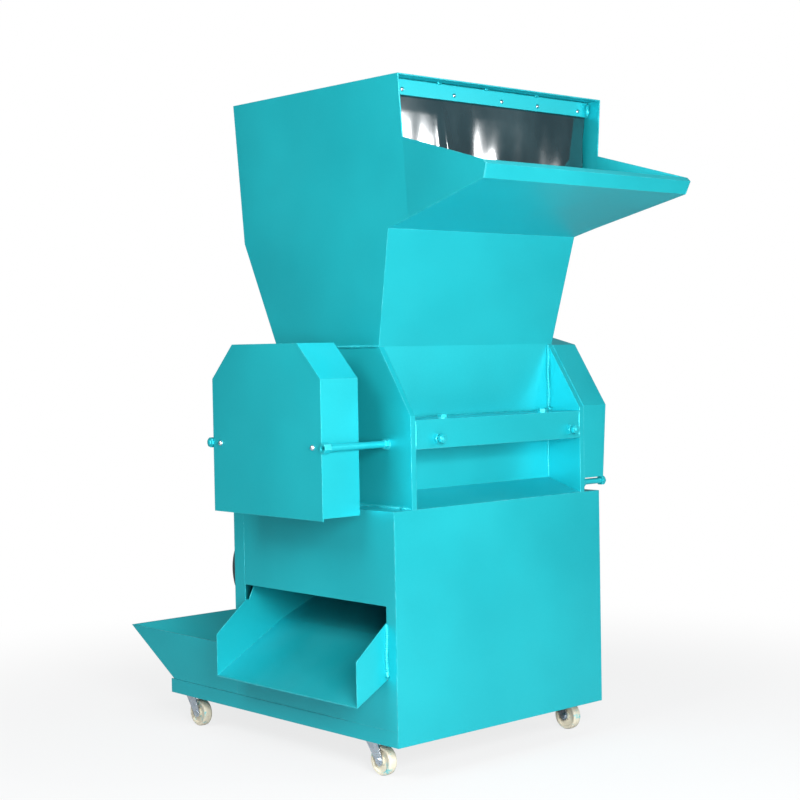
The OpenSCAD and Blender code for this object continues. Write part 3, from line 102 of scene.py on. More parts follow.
def makeWorld(s):
    # weak sky light on the machine, plain white where the camera looks past it
    world = bpy.data.worlds.new("studio")
    bpy.context.scene.world = world
    world.use_nodes = True
    tree = world.node_tree
    tree.nodes.clear()
    out = tree.nodes.new("ShaderNodeOutputWorld")
    mix = tree.nodes.new("ShaderNodeMixShader")
    lit = tree.nodes.new("ShaderNodeBackground")
    seen = tree.nodes.new("ShaderNodeBackground")
    path = tree.nodes.new("ShaderNodeLightPath")
    lit.inputs["Color"].default_value = (*s["worldColor"], 1)
    lit.inputs["Strength"].default_value = s["worldLight"]
    seen.inputs["Color"].default_value = (1, 1, 1, 1)
    wire(tree, path.outputs["Is Camera Ray"], mix.inputs["Fac"])
    wire(tree, lit.outputs[0], mix.inputs[1])
    wire(tree, seen.outputs[0], mix.inputs[2])
    wire(tree, mix.outputs[0], out.inputs["Surface"])


def floorMaterial(s):
    # matte floor that turns into the white backdrop with distance: glowNear at glowFrom, white at glowTo
    mat = bpy.data.materials.new("paleFloor")
    mat.use_nodes = True
    tree = mat.node_tree
    tree.nodes.clear()
    out = tree.nodes.new("ShaderNodeOutputMaterial")
    mix = tree.nodes.new("ShaderNodeMixShader")
    matte = tree.nodes.new("ShaderNodeBsdfDiffuse")
    glow = tree.nodes.new("ShaderNodeEmission")
    path = tree.nodes.new("ShaderNodeLightPath")
    place = tree.nodes.new("ShaderNodeTexCoord")
    length = tree.nodes.new("ShaderNodeVectorMath")
    length.operation = "LENGTH"
    fade = tree.nodes.new("ShaderNodeMapRange")
    fade.interpolation_type = "SMOOTHSTEP"
    for label, value in (("From Min", s["glowFrom"]), ("From Max", s["glowTo"]), ("To Min", s["glowNear"]),
                         ("To Max", 1.0)):
        fade.inputs[label].default_value = value
    share = tree.nodes.new("ShaderNodeMath")
    share.operation = "MULTIPLY"
    matte.inputs["Color"].default_value = (*s["floorColor"], 1)
    wire(tree, place.outputs["Object"], length.inputs[0])
    wire(tree, length.outputs["Value"], fade.inputs["Value"])
    wire(tree, path.outputs["Is Camera Ray"], share.inputs[0])
    wire(tree, fade.outputs["Result"], share.inputs[1])
    wire(tree, share.outputs[0], mix.inputs["Fac"])
    wire(tree, matte.outputs[0], mix.inputs[1])
    wire(tree, glow.outputs[0], mix.inputs[2])
    wire(tree, mix.outputs[0], out.inputs["Surface"])
    return mat


def makeFloor(s):
    half = s["floorSize"] / 2
    mesh = bpy.data.meshes.new("floor")
    mesh.from_pydata([(-half, -half, 0), (half, -half, 0), (half, half, 0), (-half, half, 0)], [], [(0, 1, 2, 3)])
    mesh.materials.append(floorMaterial(s))
    floor = bpy.data.objects.new("floor", mesh)
    bpy.context.collection.objects.link(floor)


makeCamera(cameraLook)
makeWorld(studio)
for lampName, lampValues in lamps.items():
    makeLamp(lampName, *lampValues)
makeFloor(studio)
bpy.context.scene.view_settings.view_transform = "Standard"
print("stage: camera and studio done")


# Shared shader groups

def newGroup(name, inputs, outputs):
    group = bpy.data.node_groups.new(name, "ShaderNodeTree")
    for label, kind, value in inputs:
        socket = group.interface.new_socket(label, in_out="INPUT", socket_type=kind)
        socket.default_value = value
    for label, kind in outputs:
        group.interface.new_socket(label, in_out="OUTPUT", socket_type=kind)
    start = group.nodes.new("NodeGroupInput")
    end = group.nodes.new("NodeGroupOutput")
    return group, start, end


def feed(tree, value, socket):
    # a number or a colour is typed into the socket, anything else is linked to it
    if isinstance(value, (int, float)):
        socket.default_value = value
    elif isinstance(value, tuple):
        socket.default_value = (*value, 1)
    else:
        wire(tree, value, socket)


def calc(tree, operation, first, second, clamp=False):
    node = tree.nodes.new("ShaderNodeMath")
    node.operation = operation
    node.use_clamp = clamp
    feed(tree, first, node.inputs[0])
    feed(tree, second, node.inputs[1])
    return node.outputs[0]


def noise(tree, scale, detail, roughness, vector=None):
    node = tree.nodes.new("ShaderNodeTexNoise")
    feed(tree, scale, node.inputs["Scale"])
    node.inputs["Detail"].default_value = detail
    node.inputs["Roughness"].default_value = roughness
    wire(tree, vector or tree.nodes.new("ShaderNodeTexCoord").outputs["Object"], node.inputs["Vector"])
    return node.outputs["Fac"]


def spread(tree, value, low, high, outLow=0.0, outHigh=1.0):
    node = tree.nodes.new("ShaderNodeMapRange")
    wire(tree, value, node.inputs["Value"])
    for label, number in (("From Min", low), ("From Max", high), ("To Min", outLow), ("To Max", outHigh)):
        node.inputs[label].default_value = number
    return node.outputs["Result"]


def blendColors(tree, share, first, second):
    node = tree.nodes.new("ShaderNodeMix")
    node.data_type = "RGBA"
    for number, value in ((0, share), (6, first), (7, second)):
        feed(tree, value, node.inputs[number])
    return node.outputs[2]


def makeEdgeWear():
    # how far the rounded normal turns from the flat one, broken up by noise
    group, start, end = newGroup("edgeWear", [("Radius", "NodeSocketFloat", 0.002),
                                              ("Amount", "NodeSocketFloat", 0.5),
                                              ("Break Up", "NodeSocketFloat", 60.0)],
                                 [("Mask", "NodeSocketFloat")])
    bevel = group.nodes.new("ShaderNodeBevel")
    bevel.samples = 4
    wire(group, start.outputs["Radius"], bevel.inputs["Radius"])
    place = group.nodes.new("ShaderNodeNewGeometry")
    dot = group.nodes.new("ShaderNodeVectorMath")
    dot.operation = "DOT_PRODUCT"
    wire(group, bevel.outputs[0], dot.inputs[0])
    wire(group, place.outputs["Normal"], dot.inputs[1])
    edge = spread(group, dot.outputs["Value"], 0.985, 0.86)
    patchy = spread(group, noise(group, start.outputs["Break Up"], 4.0, 0.65), 0.42, 0.68)
    worn = calc(group, "MULTIPLY", edge, patchy)
    wire(group, calc(group, "MULTIPLY", worn, start.outputs["Amount"], True), end.inputs["Mask"])
    return group


def makeSkin():
    # fine orange peel with a slow wave of the sheet under it
    group, start, end = newGroup("coatSkin", [("Grain", "NodeSocketFloat", 900.0),
                                              ("Wave", "NodeSocketFloat", 7.0),
                                              ("Wave Share", "NodeSocketFloat", 0.5)],
                                 [("Height", "NodeSocketFloat"), ("Speckle", "NodeSocketFloat")])
    fine = noise(group, start.outputs["Grain"], 2.0, 0.55)
    slow = noise(group, start.outputs["Wave"], 1.0, 0.4)
    bent = calc(group, "MULTIPLY", slow, start.outputs["Wave Share"])
    wire(group, calc(group, "ADD", calc(group, "MULTIPLY", fine, 0.06), bent), end.inputs["Height"])
    wire(group, spread(group, fine, 0.56, 0.72), end.inputs["Speckle"])
    return group


def makeDust():
    # more on faces that look up and in slow patches
    group, start, end = newGroup("dustFilm", [("Amount", "NodeSocketFloat", 0.3),
                                              ("Patch", "NodeSocketFloat", 9.0)],
                                 [("Mask", "NodeSocketFloat")])
    place = group.nodes.new("ShaderNodeNewGeometry")
    split = group.nodes.new("ShaderNodeSeparateXYZ")
    wire(group, place.outputs["Normal"], split.inputs[0])
    upwards = spread(group, split.outputs["Z"], 0.2, 1.0, 0.15, 1.0)
    patchy = spread(group, noise(group, start.outputs["Patch"], 5.0, 0.6), 0.35, 0.75)
    both = calc(group, "MULTIPLY", upwards, patchy)
    wire(group, calc(group, "MULTIPLY", both, start.outputs["Amount"], True), end.inputs["Mask"])
    return group


def makeScratches():
    # long thin streaks from noise that is stretched along one axis
    group, start, end = newGroup("fineStreaks", [("Along", "NodeSocketVector", (4.0, 400.0, 400.0))],
                                 [("Height", "NodeSocketFloat"), ("Mask", "NodeSocketFloat")])
    place = group.nodes.new("ShaderNodeTexCoord")
    stretch = group.nodes.new("ShaderNodeVectorMath")
    stretch.operation = "MULTIPLY"
    wire(group, place.outputs["Object"], stretch.inputs[0])
    wire(group, start.outputs["Along"], stretch.inputs[1])
    lines = noise(group, 1.0, 3.0, 0.6, stretch.outputs[0])
    wire(group, lines, end.inputs["Height"])
    wire(group, spread(group, lines, 0.4, 0.65), end.inputs["Mask"])
    return group


edgeWear = makeEdgeWear()
coatSkin = makeSkin()
dustFilm = makeDust()
fineStreaks = makeScratches()
print("stage: shader groups done")


# Materials

def useGroup(tree, group, **values):
    node = tree.nodes.new("ShaderNodeGroup")
    node.node_tree = group
    for label, value in values.items():
        spaced = "".join(" " + c if c.isupper() and i else c for i, c in enumerate(label))
        node.inputs[spaced].default_value = value
    return node


def startMaterial(name):
    mat = bpy.data.materials.new(name)
    mat.use_nodes = True
    tree = mat.node_tree
    tree.nodes.clear()
    shader = tree.nodes.new("ShaderNodeBsdfPrincipled")
    out = tree.nodes.new("ShaderNodeOutputMaterial")
    wire(tree, shader.outputs[0], out.inputs["Surface"])
    return mat, tree, shader


def roughen(tree, shader, height, strength, distance, roundEdge=None):
    # bump on top of a normal that is rounded at the edges
    bump = tree.nodes.new("ShaderNodeBump")
    bump.inputs["Strength"].default_value = strength
    bump.inputs["Distance"].default_value = distance
    wire(tree, height, bump.inputs["Height"])
    if roundEdge:
        bevel = tree.nodes.new("ShaderNodeBevel")
        bevel.samples = 4
        bevel.inputs["Radius"].default_value = roundEdge
        wire(tree, bevel.outputs[0], bump.inputs["Normal"])
    wire(tree, bump.outputs[0], shader.inputs["Normal"])


def paintMaterial(name, p):
    # glossy powder coat: base colour with slow drift and fine speckle, pale wear on edges and thin dust
    mat, tree, shader = startMaterial(name)
    skin = useGroup(tree, coatSkin, Grain=p["grain"], Wave=p["wave"], WaveShare=p["waveShare"])
    wear = useGroup(tree, edgeWear, Radius=p["wearRadius"], Amount=p["wear"], BreakUp=p["breakUp"])
    dust = useGroup(tree, dustFilm, Amount=p["dust"], Patch=p["patch"])
    drift = spread(tree, noise(tree, p["drift"], 3.0, 0.5), 0.3, 0.7)
    color = blendColors(tree, drift, p["dark"], p["color"])
    fleck = calc(tree, "MULTIPLY", skin.outputs["Speckle"], p["fleck"])
    color = blendColors(tree, fleck, color, p["light"])
    color = blendColors(tree, wear.outputs["Mask"], color, p["worn"])
    color = blendColors(tree, dust.outputs["Mask"], color, p["dustColor"])
    wire(tree, color, shader.inputs["Base Color"])
    rough = calc(tree, "ADD", calc(tree, "MULTIPLY", drift, 0.08), p["rough"])
    rough = calc(tree, "ADD", rough, calc(tree, "MULTIPLY", dust.outputs["Mask"], 0.4), True)
    wire(tree, rough, shader.inputs["Roughness"])
    shader.inputs["Metallic"].default_value = p["metal"]
    shader.inputs["Coat Weight"].default_value = p["coat"]
    shader.inputs["Coat Roughness"].default_value = p["coatRough"]
    roughen(tree, shader, skin.outputs["Height"], p["bump"], p["bumpDepth"], p["round"])
    return mat


tealFinish = {"color": (0.008, 0.455, 0.515), "dark": (0.006, 0.405, 0.465), "light": (0.05, 0.66, 0.72),
              "worn": (0.16, 0.74, 0.78), "dustColor": (0.20, 0.56, 0.60), "grain": 650.0, "wave": 5.0,
              "waveShare": 0.35, "wearRadius": 0.003, "wear": 0.55, "breakUp": 45.0, "dust": 0.08,
              "patch": 7.0, "drift": 3.0, "fleck": 0.22, "rough": 0.40, "metal": 0.55, "coat": 0.12,
              "coatRough": 0.22, "bump": 0.35, "bumpDepth": 0.0012, "round": 0.0015}
weldFinish = dict(tealFinish, grain=260.0, wave=120.0, waveShare=0.8, rough=0.36, fleck=0.5, wear=0.8,
                  wearRadius=0.002, bump=0.8, bumpDepth=0.0016, drift=40.0, light=(0.16, 0.72, 0.76))
boxFinish = dict(tealFinish, color=(0.62, 0.62, 0.60), dark=(0.56, 0.56, 0.545), light=(0.75, 0.75, 0.73),
                 worn=(0.42, 0.43, 0.44), dustColor=(0.48, 0.45, 0.40), metal=0.0, fleck=0.12)
motorFinish = dict(tealFinish, color=(0.055, 0.062, 0.070), dark=(0.04, 0.045, 0.052), light=(0.12, 0.13, 0.14),
                   worn=(0.35, 0.35, 0.36), dustColor=(0.22, 0.20, 0.17), metal=0.1, rough=0.42, dust=0.3)


def metalMaterial(name, p):
    # bare metal: base with streaks or cast grain, bright edges, oil and dirt in patches
    mat, tree, shader = startMaterial(name)
    streak = useGroup(tree, fineStreaks, Along=p["along"])
    wear = useGroup(tree, edgeWear, Radius=p["wearRadius"], Amount=p["wear"], BreakUp=p["breakUp"])
    dust = useGroup(tree, dustFilm, Amount=p["dust"], Patch=p["patch"])
    color = blendColors(tree, streak.outputs["Mask"], p["color"], p["dark"])
    color = blendColors(tree, wear.outputs["Mask"], color, p["worn"])
    color = blendColors(tree, dust.outputs["Mask"], color, p["dirt"])
    wire(tree, color, shader.inputs["Base Color"])
    rough = calc(tree, "ADD", calc(tree, "MULTIPLY", streak.outputs["Mask"], 0.16), p["rough"])
    wire(tree, calc(tree, "ADD", rough, calc(tree, "MULTIPLY", dust.outputs["Mask"], 0.35), True),
         shader.inputs["Roughness"])
    shader.inputs["Metallic"].default_value = p["metal"]
    roughen(tree, shader, streak.outputs["Height"], p["bump"], p["bumpDepth"], p["round"])
    return mat


steelFinish = {"color": (0.56, 0.57, 0.58), "dark": (0.40, 0.41, 0.42), "worn": (0.78, 0.79, 0.80),
               "dirt": (0.20, 0.19, 0.17), "along": (6.0, 420.0, 420.0), "wearRadius": 0.0015, "wear": 0.6,
               "breakUp": 90.0, "dust": 0.25, "patch": 14.0, "rough": 0.26, "metal": 1.0, "bump": 0.25,
               "bumpDepth": 0.0004, "round": 0.0008}
zincFinish = dict(steelFinish, color=(0.62, 0.66, 0.71), dark=(0.50, 0.55, 0.62), rough=0.22, dust=0.2,
                  along=(90.0, 90.0, 90.0), dirt=(0.30, 0.36, 0.36))
ironFinish = dict(steelFinish, color=(0.10, 0.10, 0.105), dark=(0.06, 0.06, 0.063), worn=(0.40, 0.40, 0.41),
                  along=(220.0, 220.0, 220.0), rough=0.48, metal=0.75, bump=0.6, bumpDepth=0.0008)


def plasticMaterial(name, p):
    # moulded plastic or rubber: fine grain, scuffed edges, a little dust and overspray
    mat, tree, shader = startMaterial(name)
    skin = useGroup(tree, coatSkin, Grain=p["grain"], Wave=p["wave"], WaveShare=0.3)
    wear = useGroup(tree, edgeWear, Radius=p["wearRadius"], Amount=p["wear"], BreakUp=p["breakUp"])
    spots = spread(tree, noise(tree, p["spotScale"], 5.0, 0.7), p["spotFrom"], p["spotFrom"] + 0.1)
    drift = spread(tree, noise(tree, 30.0, 3.0, 0.5), 0.3, 0.7)
    color = blendColors(tree, drift, p["dark"], p["color"])
    color = blendColors(tree, calc(tree, "MULTIPLY", spots, p["spots"]), color, p["spotColor"])
    color = blendColors(tree, wear.outputs["Mask"], color, p["worn"])
    wire(tree, color, shader.inputs["Base Color"])
    wire(tree, calc(tree, "ADD", calc(tree, "MULTIPLY", drift, 0.1), p["rough"]), shader.inputs["Roughness"])
    shader.inputs["Coat Weight"].default_value = p["coat"]
    roughen(tree, shader, skin.outputs["Height"], p["bump"], 0.0006, p["round"])
    return mat


creamFinish = {"color": (0.62, 0.57, 0.45), "dark": (0.52, 0.48, 0.37), "worn": (0.50, 0.46, 0.38),
               "spotColor": (0.05, 0.42, 0.46), "spots": 0.85, "spotScale": 38.0, "spotFrom": 0.55,
               "grain": 500.0, "wave": 60.0, "wearRadius": 0.002, "wear": 0.5, "breakUp": 120.0,
               "rough": 0.42, "coat": 0.1, "bump": 0.25, "round": 0.001}
blackFinish = dict(creamFinish, color=(0.030, 0.030, 0.032), dark=(0.022, 0.022, 0.024), worn=(0.10, 0.10, 0.10),
                   spotColor=(0.12, 0.11, 0.10), spots=0.2)
redFinish = dict(creamFinish, color=(0.50, 0.018, 0.016), dark=(0.40, 0.012, 0.012), worn=(0.60, 0.10, 0.09),
                 spots=0.0, rough=0.28, coat=0.4)
greenFinish = dict(redFinish, color=(0.02, 0.26, 0.06), dark=(0.015, 0.20, 0.045), worn=(0.12, 0.42, 0.18))
rubberFinish = dict(blackFinish, rough=0.62, coat=0.0, wear=0.8, bump=0.5)


def curtainMaterial(name, p):
    # smooth flexible sheet: near black with a blue cast, milky streaks down its length and soft scuffs
    mat, tree, shader = startMaterial(name)
    place = tree.nodes.new("ShaderNodeTexCoord")
    stretch = tree.nodes.new("ShaderNodeMapping")
    stretch.inputs["Scale"].default_value = p["stretch"]
    wire(tree, place.outputs["Object"], stretch.inputs["Vector"])
    streaks = spread(tree, noise(tree, 1.0, 4.0, 0.55, stretch.outputs[0]), 0.45, 0.75)
    cloud = spread(tree, noise(tree, p["cloud"], 4.0, 0.6), 0.4, 0.75)
    color = blendColors(tree, calc(tree, "MULTIPLY", streaks, p["streak"]), p["color"], p["milk"])
    color = blendColors(tree, calc(tree, "MULTIPLY", cloud, p["haze"]), color, p["milk"])
    wire(tree, color, shader.inputs["Base Color"])
    wire(tree, calc(tree, "ADD", calc(tree, "MULTIPLY", cloud, 0.12), p["rough"]), shader.inputs["Roughness"])
    shader.inputs["Coat Weight"].default_value = 0.5
    shader.inputs["Coat Roughness"].default_value = 0.06
    roughen(tree, shader, streaks, 0.05, 0.001)
    return mat


sheetFinish = {"color": (0.010, 0.026, 0.032), "milk": (0.10, 0.17, 0.19), "stretch": (9.0, 9.0, 2.0),
               "streak": 0.10, "cloud": 6.0, "haze": 0.08, "rough": 0.10}

finishes = {"teal_paint": paintMaterial("tealPaint", tealFinish),
            "bare_steel": metalMaterial("groundSteel", steelFinish),
            "zinc": metalMaterial("zincPlate", zincFinish),
            "dark_iron": metalMaterial("castIron", ironFinish),
            "curtain_sheet": curtainMaterial("curtainSheet", sheetFinish),
            "belt_rubber": plasticMaterial("beltRubber", rubberFinish),
            "motor_paint": paintMaterial("motorPaint", motorFinish),
            "box_paint": paintMaterial("boxPaint", boxFinish),
            "black_plastic": plasticMaterial("blackPlastic", blackFinish),
            "green_plastic": plasticMaterial("greenPlastic", greenFinish),
            "red_plastic": plasticMaterial("redPlastic", redFinish),
            "cream_plastic": plasticMaterial("creamPlastic", creamFinish)}
weldPaint = paintMaterial("weldPaint", weldFinish)


def dressNodes():
    for row in frame["record"]["subparts"]:
        mesh = nodes[row["node"]].data
        mesh.materials.clear()
        mesh.materials.append(finishes[row["material_slot"]])


dressNodes()
print("stage: materials done")


# Making surfaces

def makePiece(name, points, faces, material, body, smooth=True):
    # puts whole arrays of points and faces into a mesh, turns the faces outwards and ties it to a body
    mesh = bpy.data.meshes.new(name)
    mesh.from_pydata(np.asarray(points).tolist(), [], faces)
    mesh.update()
    bpy.context.view_layer.update()
    work = bmesh.new()
    work.from_mesh(mesh)
    bmesh.ops.remove_doubles(work, verts=work.verts, dist=1e-6)
    bmesh.ops.recalc_face_normals(work, faces=work.faces)
    work.to_mesh(mesh)
    work.free()
    mesh.polygons.foreach_set("use_smooth", [smooth] * len(mesh.polygons))
    mesh.materials.append(material)
    piece = bpy.data.objects.new(name, mesh)
    bpy.context.collection.objects.link(piece)
    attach(piece, body)
    return piece


def gridFaces(rings, sides):
    # quads between neighbouring rings, and one many-sided face at each end
    r, c = np.meshgrid(np.arange(rings - 1), np.arange(sides), indexing="ij")
    nextC = (c + 1) % sides
    quads = np.stack([r * sides + c, r * sides + nextC, (r + 1) * sides + nextC, (r + 1) * sides + c], -1)
    ends = [np.arange(sides)[::-1].tolist(), (np.arange(sides) + (rings - 1) * sides).tolist()]
    return quads.reshape(-1, 4).tolist() + ends


def joinParts(parts):
    # several point arrays and face lists as one
    points, faces, count = [], [], 0
    for somePoints, someFaces in parts:
        points.append(somePoints)
        faces += [[i + count for i in face] for face in someFaces]
        count += len(somePoints)
    return np.concatenate(points), faces


def sideAxes(direction):
    # two unit vectors square to a direction
    helper = np.array([0.0, 0.0, 1.0]) if abs(direction[2]) < 0.9 else np.array([0.0, 1.0, 0.0])
    first = np.cross(direction, helper)
    first /= np.linalg.norm(first)
    return first, np.cross(direction, first)


def beadSurface(start, end, width, pitch, seed):
    # a rope-like bead: a tube whose radius rises and falls once for each weld drop, thin at both ends
    start, end = np.array(start, float), np.array(end, float)
    length = np.linalg.norm(end - start)
    direction = (end - start) / length
    a, b = sideAxes(direction)
    rings = max(12, int(length / pitch * 5))
    sides = 10
    u = np.linspace(0, 1, rings)[:, None]
    angle = np.linspace(0, 2 * np.pi, sides, endpoint=False)[None, :]
    draw = np.random.default_rng(seed)
    phase = u * length / pitch * np.pi + np.cumsum(draw.normal(0, 0.08, (rings, 1)), 0)
    drop = 0.70 + 0.30 * np.abs(np.sin(phase))
    uneven = 1 + 0.10 * np.sin(u * length * 37 + seed) + draw.normal(0, 0.035, (rings, sides))
    taper = np.clip(np.minimum(u, 1 - u) * length / (1.2 * width), 0.05, 1) ** 0.5
    radius = width / 2 * drop * uneven * taper
    centre = start + u * (end - start)
    sway = width * 0.12 * np.sin(u * length * 61 + seed * 2.1)
    centre = centre + sway * a
    ring = np.cos(angle)[..., None] * a + np.sin(angle)[..., None] * b
    points = centre[:, None, :] + radius[..., None] * ring
    return points.reshape(-1, 3), gridFaces(rings, sides)


def blobSurface(centre, size, seed):
    # a lump of weld: a sphere whose radius is waved in both angles
    rings, sides = 12, 16
    v = np.linspace(0.02, 0.98, rings)[:, None] * np.pi
    u = np.linspace(0, 2 * np.pi, sides, endpoint=False)[None, :]
    radius = 1 + 0.14 * np.sin(3 * u + seed) * np.sin(2 * v) + 0.10 * np.sin(5 * v + seed * 1.7)
    points = np.stack([np.cos(u) * np.sin(v), np.sin(u) * np.sin(v), np.cos(v) + 0 * u], -1) * radius[..., None]
    return (points * np.array(size) / 2 + np.array(centre)).reshape(-1, 3), gridFaces(rings, sides)


def turnedSurface(profile, centre, axis, sides=48):
    # a profile of radius and height turned about an axis through a point; the first and last radius are closed
    axis = np.array(axis, float)
    a, b = sideAxes(axis)
    profile = np.array(profile, float)
    angle = np.linspace(0, 2 * np.pi, sides, endpoint=False)
    ring = np.cos(angle)[:, None] * a + np.sin(angle)[:, None] * b
    points = profile[:, None, :1] * ring[None] + profile[:, None, 1:] * axis + np.array(centre, float)
    return points.reshape(-1, 3), gridFaces(len(profile), sides)


def hexSurface(centre, axis, across, height, hole=0.0, depth=0.0, turn=0.0):
    # six-sided head: at each angle the radius is that of a hexagon, and the end falls away outside a circle
    axis = np.array(axis, float)
    a, b = sideAxes(axis)
    sides = 72
    angle = np.linspace(0, 2 * np.pi, sides, endpoint=False)
    flat = across / 2
    hexRadius = flat / np.cos((angle + turn) % (np.pi / 3) - np.pi / 6)
    ring = np.cos(angle)[:, None] * a + np.sin(angle)[:, None] * b
    bevel = np.maximum(hexRadius - flat * 0.96, 0) * math.tan(math.radians(30))
    even = np.ones(sides)
    rows = [(0.001 * flat * even, 0 * even), (hexRadius * 0.98, 0 * even), (hexRadius, 0.03 * height * even),
            (hexRadius, height - bevel - 0.01 * height), (np.minimum(hexRadius, flat * 0.96), height * even)]
    if hole:
        rows += [(hole * 1.12 * even, height * even), (hole * even, (height - hole * 0.12) * even),
                 (hole * even, (height - depth) * even), (0.02 * hole * even, (height - depth) * even)]
    else:
        rows += [(flat * 0.5 * even, height * 1.02 * even), (flat * 0.01 * even, height * 1.03 * even)]
    points = [r[:, None] * ring + h[:, None] * axis + np.array(centre, float) for r, h in rows]
    return np.concatenate(points), gridFaces(len(rows), sides)


def threadSurface(start, end, radius, pitch=0.0018):
    # a stud: the radius goes up and down once per turn of thread, with a rounded tip
    start, end = np.array(start, float), np.array(end, float)
    length = np.linalg.norm(end - start)
    axis = (end - start) / length
    steps = int(length / pitch) * 4
    h = np.linspace(0, length, steps)
    r = radius * (0.93 + 0.07 * np.abs(((h / pitch) % 1) * 2 - 1))
    r = np.where(h > length - radius * 0.3, r * (1 - 0.25 * (h - length + radius * 0.3) / (radius * 0.3)), r)
    profile = [(radius * 0.02, 0)] + list(zip(r, h)) + [(radius * 0.02, length)]
    return turnedSurface(profile, start, axis, 24)


# Welds

beadPitch = 0.0052
beads = {
    "hopperFootLeft": ((-0.3165, 0.112, 1.0625), (-0.3165, 0.519, 1.0625), 0.008),
    "hopperFootRight": ((0.3165, 0.112, 1.0625), (0.3165, 0.519, 1.0625), 0.008),
    "wallRight": ((0.2980, 0.1100, 0.886), (0.2980, 0.1100, 1.060), 0.011),
    "wallLeft": ((-0.2985, 0.1105, 0.890), (-0.2985, 0.1105, 1.060), 0.007),
    "beamRight": ((0.2990, 0.0010, 0.812), (0.2990, 0.0010, 0.879), 0.006),
    "beamLeft": ((-0.2990, 0.0010, 0.812), (-0.2990, 0.0010, 0.879), 0.006),
    "recessRight": ((0.2990, 0.1150, 0.700), (0.2990, 0.1150, 0.806), 0.006),
    "plateFootLeft": ((-0.3175, 0.004, 0.6635), (-0.3175, 0.638, 0.6635), 0.011),
    "plateFootRight": ((0.3175, 0.004, 0.6635), (0.3175, 0.638, 0.6635), 0.009),
    "chuteFront": ((-0.3765, 0.0350, 0.250), (-0.3765, 0.0350, 0.388), 0.012),
    "chuteRear": ((-0.3760, 0.6070, 0.252), (-0.3760, 0.6070, 0.387), 0.008),
    "railFrontLeft": ((-0.3735, 0.0045, 0.0885), (-0.3735, 0.0045, 0.124), 0.004)}
lumps = {"clampRight": ((0.3560, 0.0060, 1.688), (0.012, 0.010, 0.030)),
         "clampLeft": ((-0.3560, 0.0060, 1.690), (0.010, 0.008, 0.022)),
         "nubA": ((-0.193, 0.0075, 1.709), (0.016, 0.007, 0.007)),
         "nubB": ((-0.026, 0.0075, 1.709), (0.018, 0.007, 0.007)),
         "nubC": ((0.158, 0.0075, 1.709), (0.015, 0.007, 0.007)),
         "footLump": ((-0.3190, 0.030, 0.6650), (0.012, 0.020, 0.010)),
         "beamLump": ((0.2960, 0.104, 0.8850), (0.016, 0.014, 0.009)),
         "chuteLump": ((-0.3780, 0.0345, 0.262), (0.010, 0.014, 0.016))}


def makeWelds():
    # every bead and lump as one piece on the machine body
    parts = [beadSurface(np.array(a) + originShift, np.array(b) + originShift, width, beadPitch, 11 + i)
             for i, (a, b, width) in enumerate(beads.values())]
    parts += [blobSurface(np.array(centre) + originShift, size, 3 + i)
              for i, (centre, size) in enumerate(lumps.values())]
    points, faces = joinParts(parts)
    makePiece("weld_beads", points, faces, weldPaint, "machine")


makeWelds()
print("stage: welds done")


# Nuts, bolts and rods

def at(x, y, z):
    # millimetres of the machine drawing as metres of the scene
    return np.array([x, y, z]) * millimetre + originShift


toFront, toLeft, toRight, up = (0, -1, 0), (-1, 0, 0), (1, 0, 0), (0, 0, 1)
knifeBolts = {"jackX": (-227, 261), "jackZ": 833, "jackHead": 0.0242, "jackNut": 0.0225, "jackNutTurn": 0.35,
              "clampX": (-195, 171), "clampY": (15, 627), "ledgeZ": 881, "clampHead": 0.0235,
              "washer": [(0.0001, 0), (0.0155, 0), (0.0155, 0.0018), (0.0148, 0.0022), (0.0001, 0.0022)]}


def makeKnifeBolts(k):
    # jack bolts with lock nuts and threads in the beam face, and clamp bolts standing on both ledges
    parts = []
    for x in k["jackX"]:
        z = k["jackZ"]
        parts.append(hexSurface(at(x, 0, z), toFront, k["jackHead"], 0.0095))
        parts.append(threadSurface(at(x, -9, z), at(x, -15, z), 0.0068))
        parts.append(hexSurface(at(x, -14, z), toFront, k["jackNut"], 0.0098, turn=k["jackNutTurn"]))
        parts.append(threadSurface(at(x, -23.5, z), at(x, -27, z), 0.0062))
    for y in k["clampY"]:
        for x in k["clampX"]:
            parts.append(turnedSurface(k["washer"], at(x, y, k["ledgeZ"]), up))
            parts.append(hexSurface(at(x, y, k["ledgeZ"] + 2), up, k["clampHead"], 0.0088,
                                    turn=0.2 + x * 0.01))
    points, faces = joinParts(parts)
    piece = makePiece("knife_bolt_heads", points, faces, finishes["teal_paint"], "machine", False)
    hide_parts("knife_bolts")


makeKnifeBolts(knifeBolts)

guardRods = {"frontY": 89.0, "rearY": 553.0, "z": 821, "beltY": 13.5, "beltZ": 687.0, "across": 0.0232,
             "rod": [(0.0001, 0), (0.0084, 0), (0.009, 0.002), (0.009, 0.186), (0.0084, 0.1865), (0.0001, 0.1865)],
             "washer": [(0.0001, 0), (0.0145, 0), (0.0145, 0.002), (0.0001, 0.0025)],
             "stud": [(0.0001, 0), (0.0062, 0), (0.006, 0.0032), (0.0045, 0.004), (0.0001, 0.0042)],
             "beltRod": [(0.0001, 0), (0.0076, 0), (0.008, 0.002), (0.008, 0.0775), (0.0001, 0.0778)]}


